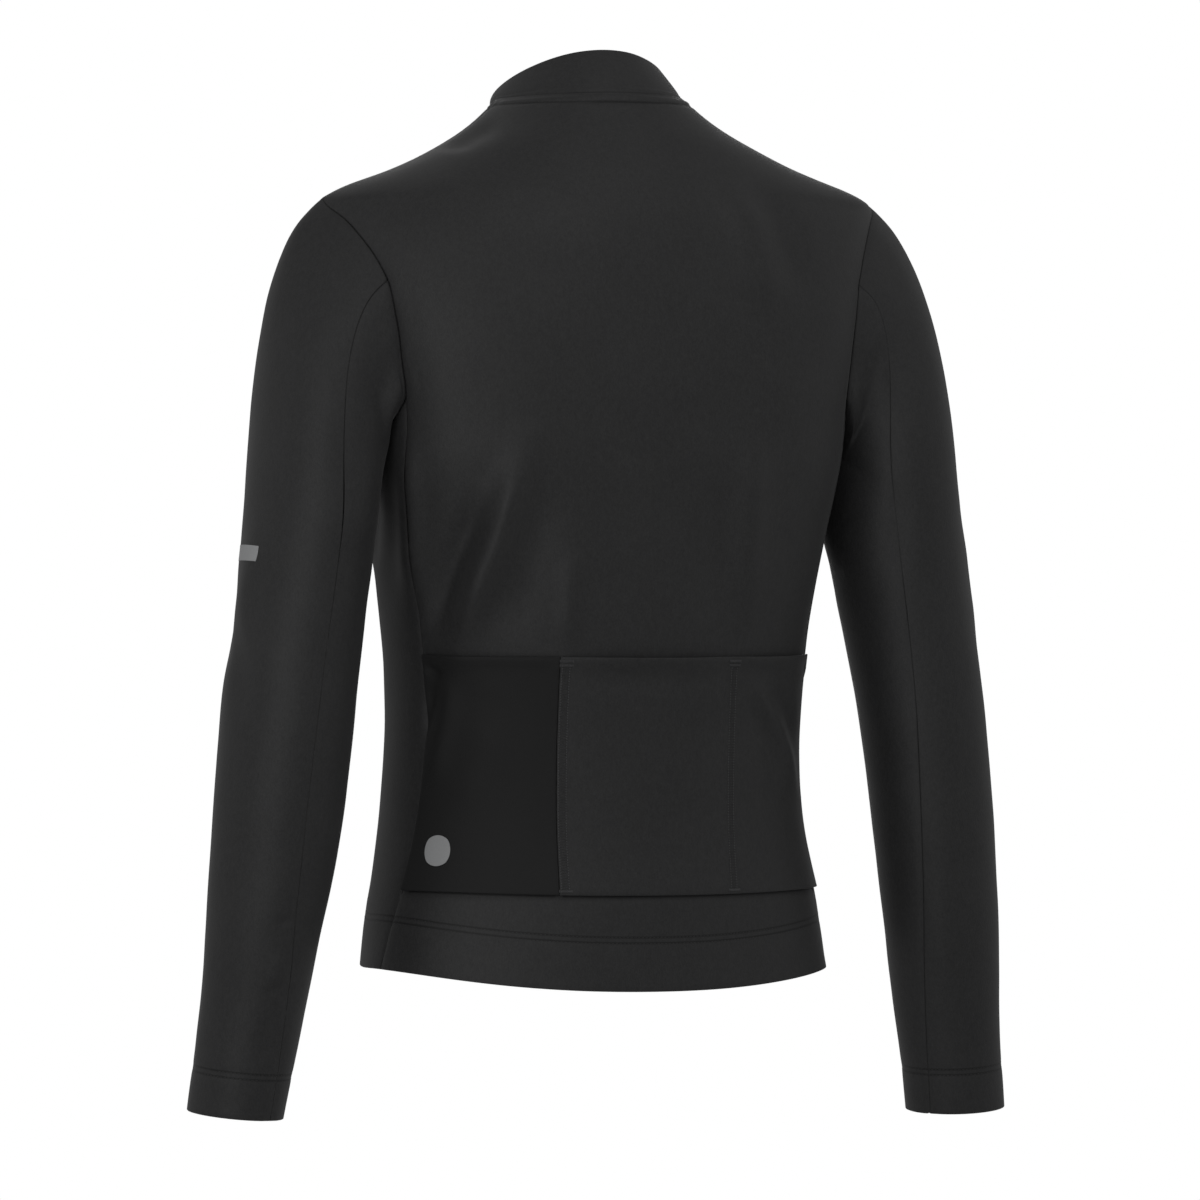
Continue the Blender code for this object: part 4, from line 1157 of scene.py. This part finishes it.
def line_up(surface, x, low, high, step=4.0):
    """Points and normals up the back at one x, from a low to a high z, all in mm."""
    return [seen_at(surface, 180, -x, z) for z in np.arange(low, high + step / 2, step)]


def divider_stitches(pieces, material, bright):
    """The cover stitch and the bar tacks of both pocket dividers."""
    surface = surface_of([pieces[name] for name in ("back", "pocket_left", "pocket_centre_right")])
    needle = grain(*DIVIDER_STITCH)
    tack = grain(*TACK_STITCH)
    for side, (middle, width) in DIVIDERS.items():
        rung = grain(width * RUNG_OVERLAP, RUNG_THREAD, RUNG_THREAD)
        rungs = []
        line = line_up(surface, middle, DIVIDER_LOW, DIVIDER_HIGH)
        for number, place in enumerate(stitch_places(line, RUNG_PITCH, RUNG_SUNK)):
            lean = math.radians(RUNG_LEAN if number % 2 else -RUNG_LEAN)
            rungs.append(place @ Matrix.Rotation(math.pi / 2 + lean, 4, "Z"))
        copy_many(f"divider_rungs_{side}", rung, rungs, material)
        bpy.data.objects.remove(rung)
        lines = []
        for x in (middle - width / 2, middle + width / 2):
            line = line_up(surface, x, DIVIDER_LOW, DIVIDER_HIGH)
            lines += stitch_places(line, RUNG_PITCH, DIVIDER_LINE_SUNK)
        # the needle lines here and the bar tacks below take the lightened thread, a painted highlight
        copy_many(f"divider_lines_{side}", needle, lines, bright)
        threads = []
        for z in TACK_HEIGHTS:
            for x in np.arange(middle - TACK_WIDTH / 2, middle + TACK_WIDTH / 2, TACK_PITCH):
                point, normal = seen_at(surface, 180, -x, z)
                threads.append(stood(point - normal * TACK_SUNK * MM, normal, Vector((TACK_LEAN, 0, 1))))
        copy_many(f"bar_tacks_{side}", tack, threads, bright)
    bpy.data.objects.remove(needle)
    bpy.data.objects.remove(tack)


def neck_stitches(pieces, material):
    """The line of stitches that holds the neck seam's allowance down under the collar."""
    stitch = grain(*PLAIN_STITCH)
    body = surface_of([pieces[name] for name in BODY_PANELS])
    collar = pieces["collar"].data
    edge = (read_value(collar, "on_rim") > 0.9) & (read_value(collar, "depth") < 0.01)
    lowest = {}
    for point in points_of(collar)[edge]:
        turn = round(math.degrees(math.atan2(point[0], point[1] + NECK_MIDDLE * MM)) / NECK_TURN)
        if turn not in lowest or point[2] < lowest[turn][2]:
            lowest[turn] = point
    path = []
    for turn in sorted(lowest):
        point = Vector(lowest[turn])
        facing = Vector((point.x, point.y + NECK_MIDDLE * MM, 0)).normalized()
        out, down = NECK_SLOPE
        reach = (facing * out - Vector((0, 0, down))) * (NECK_BAND + 0.5) * MM
        found, normal = nearest(body, point + reach)
        if found.y < 0 and abs(found.x) < NECK_ZIP_GAP * MM:
            continue
        path.append((found, normal))
    places = stitch_places(path, STITCH_PITCH, STITCH_SUNK)
    copy_many("neck_stitches", stitch, places, material)
    bpy.data.objects.remove(stitch)


# ================================================================ zip
def zip_teeth(material):
    """The closed teeth: rounded bars from each side in turn, across the bar that the frame gives."""
    bar = surface_of([frame["nodes"]["zip_chain"]])
    tooth = grain(*TOOTH, segments=8, rings=4)
    low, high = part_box("zip_chain")
    line = [seen_at(bar, 0, 0, z) for z in np.arange(low.z / MM + 1.0, high.z / MM - 0.6, 4.0)]
    places = []
    for number, place in enumerate(stitch_places(line, TOOTH_PITCH / 2, TOOTH_SUNK)):
        side = 1 if number % 2 else -1
        turn = Matrix.Rotation(math.pi / 2 + side * TOOTH_LEAN, 4, "Z")
        places.append(place @ turn @ Matrix.Translation((side * TOOTH_SHIFT * MM, 0, 0)))
    copy_many("zip_teeth", tooth, places, material)
    bpy.data.objects.remove(tooth)


def slab(outline, low, high, edge, across=False):
    """A slab of an outline in mm, from one depth to another, with rounded edges.

    The outline is across and up, and the depths count outwards. With across it is outwards and up instead,
    and the depths count across.
    """
    bpy.ops.mesh.primitive_circle_add(vertices=len(outline), radius=1, fill_type="NGON")
    made = bpy.context.object
    for vert, (first, up) in zip(made.data.vertices, outline):
        vert.co = (low * MM, first * MM, up * MM) if across else (first * MM, low * MM, up * MM)
    made.data.update()
    edit_whole()
    thickness = (high - low) * MM
    step = (thickness, 0, 0) if across else (0, thickness, 0)
    bpy.ops.mesh.extrude_region_move(TRANSFORM_OT_translate={"value": step})
    bpy.ops.mesh.select_all(action="SELECT")
    bpy.ops.mesh.normals_make_consistent(inside=False)
    bpy.ops.object.mode_set(mode="OBJECT")
    modifier = made.modifiers.new("rounded edges", "BEVEL")
    modifier.width = edge * MM
    modifier.segments = 3
    modifier.limit_method = "ANGLE"
    modifier.angle_limit = math.radians(SHARP_SLAB)
    apply_modifiers(made)
    return made


def both_sides(shape):
    """An outline from half widths going up: up the right side and down the left."""
    return [(half, up) for up, half in shape] + [(-half, up) for up, half in reversed(shape)]


def rounded_box(wide, low, high, corner, steps=5):
    """An outline with rounded corners, its middle at nought across."""
    points = []
    for turn in range(4):
        side = 1 if turn in (0, 1) else -1
        top = 1 if turn in (1, 2) else -1
        middle = (side * (wide / 2 - corner), (high - corner) if top > 0 else (low + corner))
        for step in range(steps + 1):
            angle = math.radians(-90 + 90 * turn + 90 * step / steps)
            points.append((middle[0] + corner * math.cos(angle), middle[1] + corner * math.sin(angle)))
    return points


def join(parts, name):
    clear_selection()
    for part in parts:
        part.select_set(True)
    bpy.context.view_layer.objects.active = parts[0]
    bpy.ops.object.join()
    made = bpy.context.object
    made.name = name
    return made


def finish_metal(made, place, lean, body, node, material):
    """Moves a fitting from its own axes to its place, and lets it stand for the frame's own."""
    turn = Matrix.Rotation(math.radians(lean), 4, "X")
    flip = Matrix.Diagonal((1, -1, 1, 1))
    made.data.transform(Matrix.Translation(Vector(place) * MM) @ turn @ flip)
    made.data.flip_normals()
    only(made)
    bpy.ops.object.shade_smooth_by_angle(angle=math.radians(SHARP_METAL))
    made.data.materials.clear()
    made.data.materials.append(material)
    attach(made, body)
    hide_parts(node)


def zip_slider(material):
    """Two waisted plates with side rails, the post between them and a bent strap for the pull."""
    outline = both_sides(PLATE_SHAPE)
    parts = [slab(outline, low, high, edge=0.35) for low, high in PLATE_DEPTHS]
    for side in (-1, 1):
        rail = [(side * across, up) for across, up in RAIL_SHAPE]
        parts += [slab(rail, low, high, edge=0.15) for low, high in RAIL_DEPTHS]
    parts.append(slab(rounded_box(*POST), *POST_DEPTH, edge=0.05))
    strap = STRAP_OUTER + STRAP_INNER
    parts.append(slab(strap, -STRAP_HALF_WIDTH, STRAP_HALF_WIDTH, edge=0.22, across=True))
    made = join(parts, "slider_shape")
    finish_metal(made, SLIDER_PLACE, SLIDER_LEAN, "garment", "zip_slider", material)


def zip_pull(material):
    """A tapered plate with a slot for the strap, a raised grip and a small hole."""
    plate = slab(both_sides(PULL_SHAPE), -PULL_HALF_DEPTH, PULL_HALF_DEPTH, edge=0.25)
    for hole in PULL_HOLES:
        cutter = slab(rounded_box(*hole), -2, 2, edge=0.01)
        modifier = plate.modifiers.new("hole", "BOOLEAN")
        modifier.operation = "DIFFERENCE"
        modifier.object = cutter
        apply_modifiers(plate)
        bpy.data.objects.remove(cutter)
    parts = [plate]
    count, first, pitch = GRIP_BARS
    width, half_height, corner = GRIP_BAR
    for number in range(count):
        middle = first - pitch * number
        outline = rounded_box(width, middle - half_height, middle + half_height, corner)
        parts.append(slab(outline, *GRIP_DEPTH, edge=0.12))
    finish_metal(join(parts, "pull_shape"), PULL_PLACE, 0.0, "pull_tab", "zip_pull", material)


# ================================================================ reflective prints
def print_on(name, pieces, azimuth, place, outline, roundness, material):
    """A thin printed shape that follows the cloth round a place that is seen from an azimuth.

    The outline is its width and height. A roundness of 1 makes a disc and 0 a plain bar.
    """
    surface = surface_of(pieces)
    bpy.ops.mesh.primitive_grid_add(x_subdivisions=PRINT_SQUARES, y_subdivisions=PRINT_SQUARES, size=2)
    made = bpy.context.object
    made.name = name
    width, height = outline
    centre, normal = seen_at(surface, azimuth, *place)
    side = Vector((0, 0, 1)).cross(normal).normalized()
    top = normal.cross(side)
    for vert in made.data.vertices:
        x, y = vert.co.x, vert.co.y
        round_x = x * math.sqrt(1 - roundness * y * y / 2)
        round_y = y * math.sqrt(1 - roundness * x * x / 2)
        aim = centre + side * round_x * width / 2 * MM + top * round_y * height / 2 * MM
        found, _ = first_hit(surface, aim + normal * RAY_START * MM, -normal)
        vert.co = found + normal * PRINT_RISE * PRINT_LIFT * MM
    modifier = made.modifiers.new("film", "SOLIDIFY")
    modifier.thickness = PRINT_RISE * MM
    modifier.offset = 1.0
    apply_modifiers(made)
    only(made)
    bpy.ops.object.shade_smooth_by_angle(angle=math.radians(SHARP_PRINT))
    made.data.materials.append(material)
    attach(made, "garment")


# ================================================================ studio
def make_camera():
    right, away = axes(CAMERA_AZIMUTH)
    across, up = CAMERA_AIM
    aim = right * across * MM + Vector((0, 0, up * MM))
    data = bpy.data.cameras.new("camera")
    data.sensor_width = SENSOR_WIDTH
    data.lens = SENSOR_WIDTH * CAMERA_DISTANCE / FRAME_WIDTH
    data.clip_end = CAMERA_REACH
    made = put_in_scene("camera", data)
    made.location = aim - away * CAMERA_DISTANCE
    made.rotation_euler = away.to_track_quat("-Z", "Y").to_euler()
    bpy.context.scene.camera = made


def soft_light(name, azimuth, elevation, power):
    """A soft box that faces the jacket's middle, at an azimuth and elevation in degrees."""
    _, away = axes(azimuth)
    rise = math.radians(elevation)
    data = bpy.data.lights.new(name, "AREA")
    data.shape = "RECTANGLE"
    data.size, data.size_y = SOFT_BOX_SIZE
    data.energy = power
    made = put_in_scene(name, data)
    height = Vector((0, 0, SOFT_BOX_DISTANCE * math.sin(rise)))
    made.location = JACKET_MIDDLE - away * SOFT_BOX_DISTANCE * math.cos(rise) + height
    made.rotation_euler = (JACKET_MIDDLE - made.location).to_track_quat("-Z", "Y").to_euler()
    made.visible_camera = False


def pale_material():
    """The floor's finish, which glows a little to the camera alone."""
    material = new_material("pale floor", 0.8)
    tree, shader = material.node_tree, shader_of(material)
    shader.inputs["Base Color"].default_value = (FLOOR_GREY, FLOOR_GREY, FLOOR_GREY, 1)
    shader.inputs["Emission Color"].default_value = (1, 1, 1, 1)
    seen = put(tree, "ShaderNodeLightPath").outputs["Is Camera Ray"]
    tree.links.new(math_node(tree, "MULTIPLY", seen, FLOOR_GLOW), shader.inputs["Emission Strength"])
    return material


def make_studio():
    """A white room, dimmer to all but the camera, with a pale floor and soft boxes."""
    world = bpy.data.worlds.new("white room")
    world.use_nodes = True
    bpy.context.scene.world = world
    tree = world.node_tree
    seen = put(tree, "ShaderNodeLightPath").outputs["Is Camera Ray"]
    brightness = math_node(tree, "MAXIMUM", seen, ROOM_LIGHT)
    tree.links.new(brightness, tree.nodes["Background"].inputs["Strength"])
    tree.nodes["Background"].inputs["Color"].default_value = (1, 1, 1, 1)
    bpy.ops.mesh.primitive_circle_add(
        vertices=96, radius=FLOOR_RADIUS, fill_type="NGON", location=FLOOR_PLACE
    )
    floor = bpy.context.object
    floor.name = "floor"
    floor.data.materials.append(pale_material())
    for name, (round_by, elevation, power) in SOFT_BOXES.items():
        soft_light(name, CAMERA_AZIMUTH + round_by, elevation, power)
    bpy.context.scene.view_settings.view_transform = "Standard"


# ================================================================ the jacket
for spare in [made for made in bpy.context.scene.objects if made.name in ("Cube", "Light", "Camera")]:
    bpy.data.objects.remove(spare)
clear_selection()
materials = make_materials()

pieces = {}
for name, (_, halvings, thickest, *_) in CLOTH.items():
    piece = cloth_net(name)
    mark_edges(name, piece, thickest)
    smooth_net(piece, halvings)
    pieces[name] = piece
free_edges = shape_cloth(pieces)
for name, piece in pieces.items():
    roll_edges(piece)
    finish = CLOTH[name][0]
    piece.data.materials.clear()
    piece.data.materials.append(materials[finish])
    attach(piece, "garment")
    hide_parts(name)

hem_stitches(pieces, free_edges, materials["thread"])
divider_stitches(pieces, materials["thread"], materials["highlight_thread"])
neck_stitches(pieces, materials["thread"])
zip_teeth(materials["coil"])
zip_slider(materials["metal"])
zip_pull(materials["metal"])
pockets = [pieces["pocket_left"], pieces["back"]]
print_on("reflective_dot", pockets, CAMERA_AZIMUTH, DOT_PLACE, DOT_SIZE, 0.9, materials["print"])
left_sleeve = [pieces[name] for name in SLEEVES["left"]]
print_on("reflective_bar", left_sleeve, BAR_AZIMUTH, BAR_PLACE, BAR_SIZE, 0.1, materials["print"])
for name in ("zip_chain", "zip_box"):
    node = frame["nodes"][name]
    node.data.materials.clear()
    node.data.materials.append(materials["coil"])

make_camera()
make_studio()
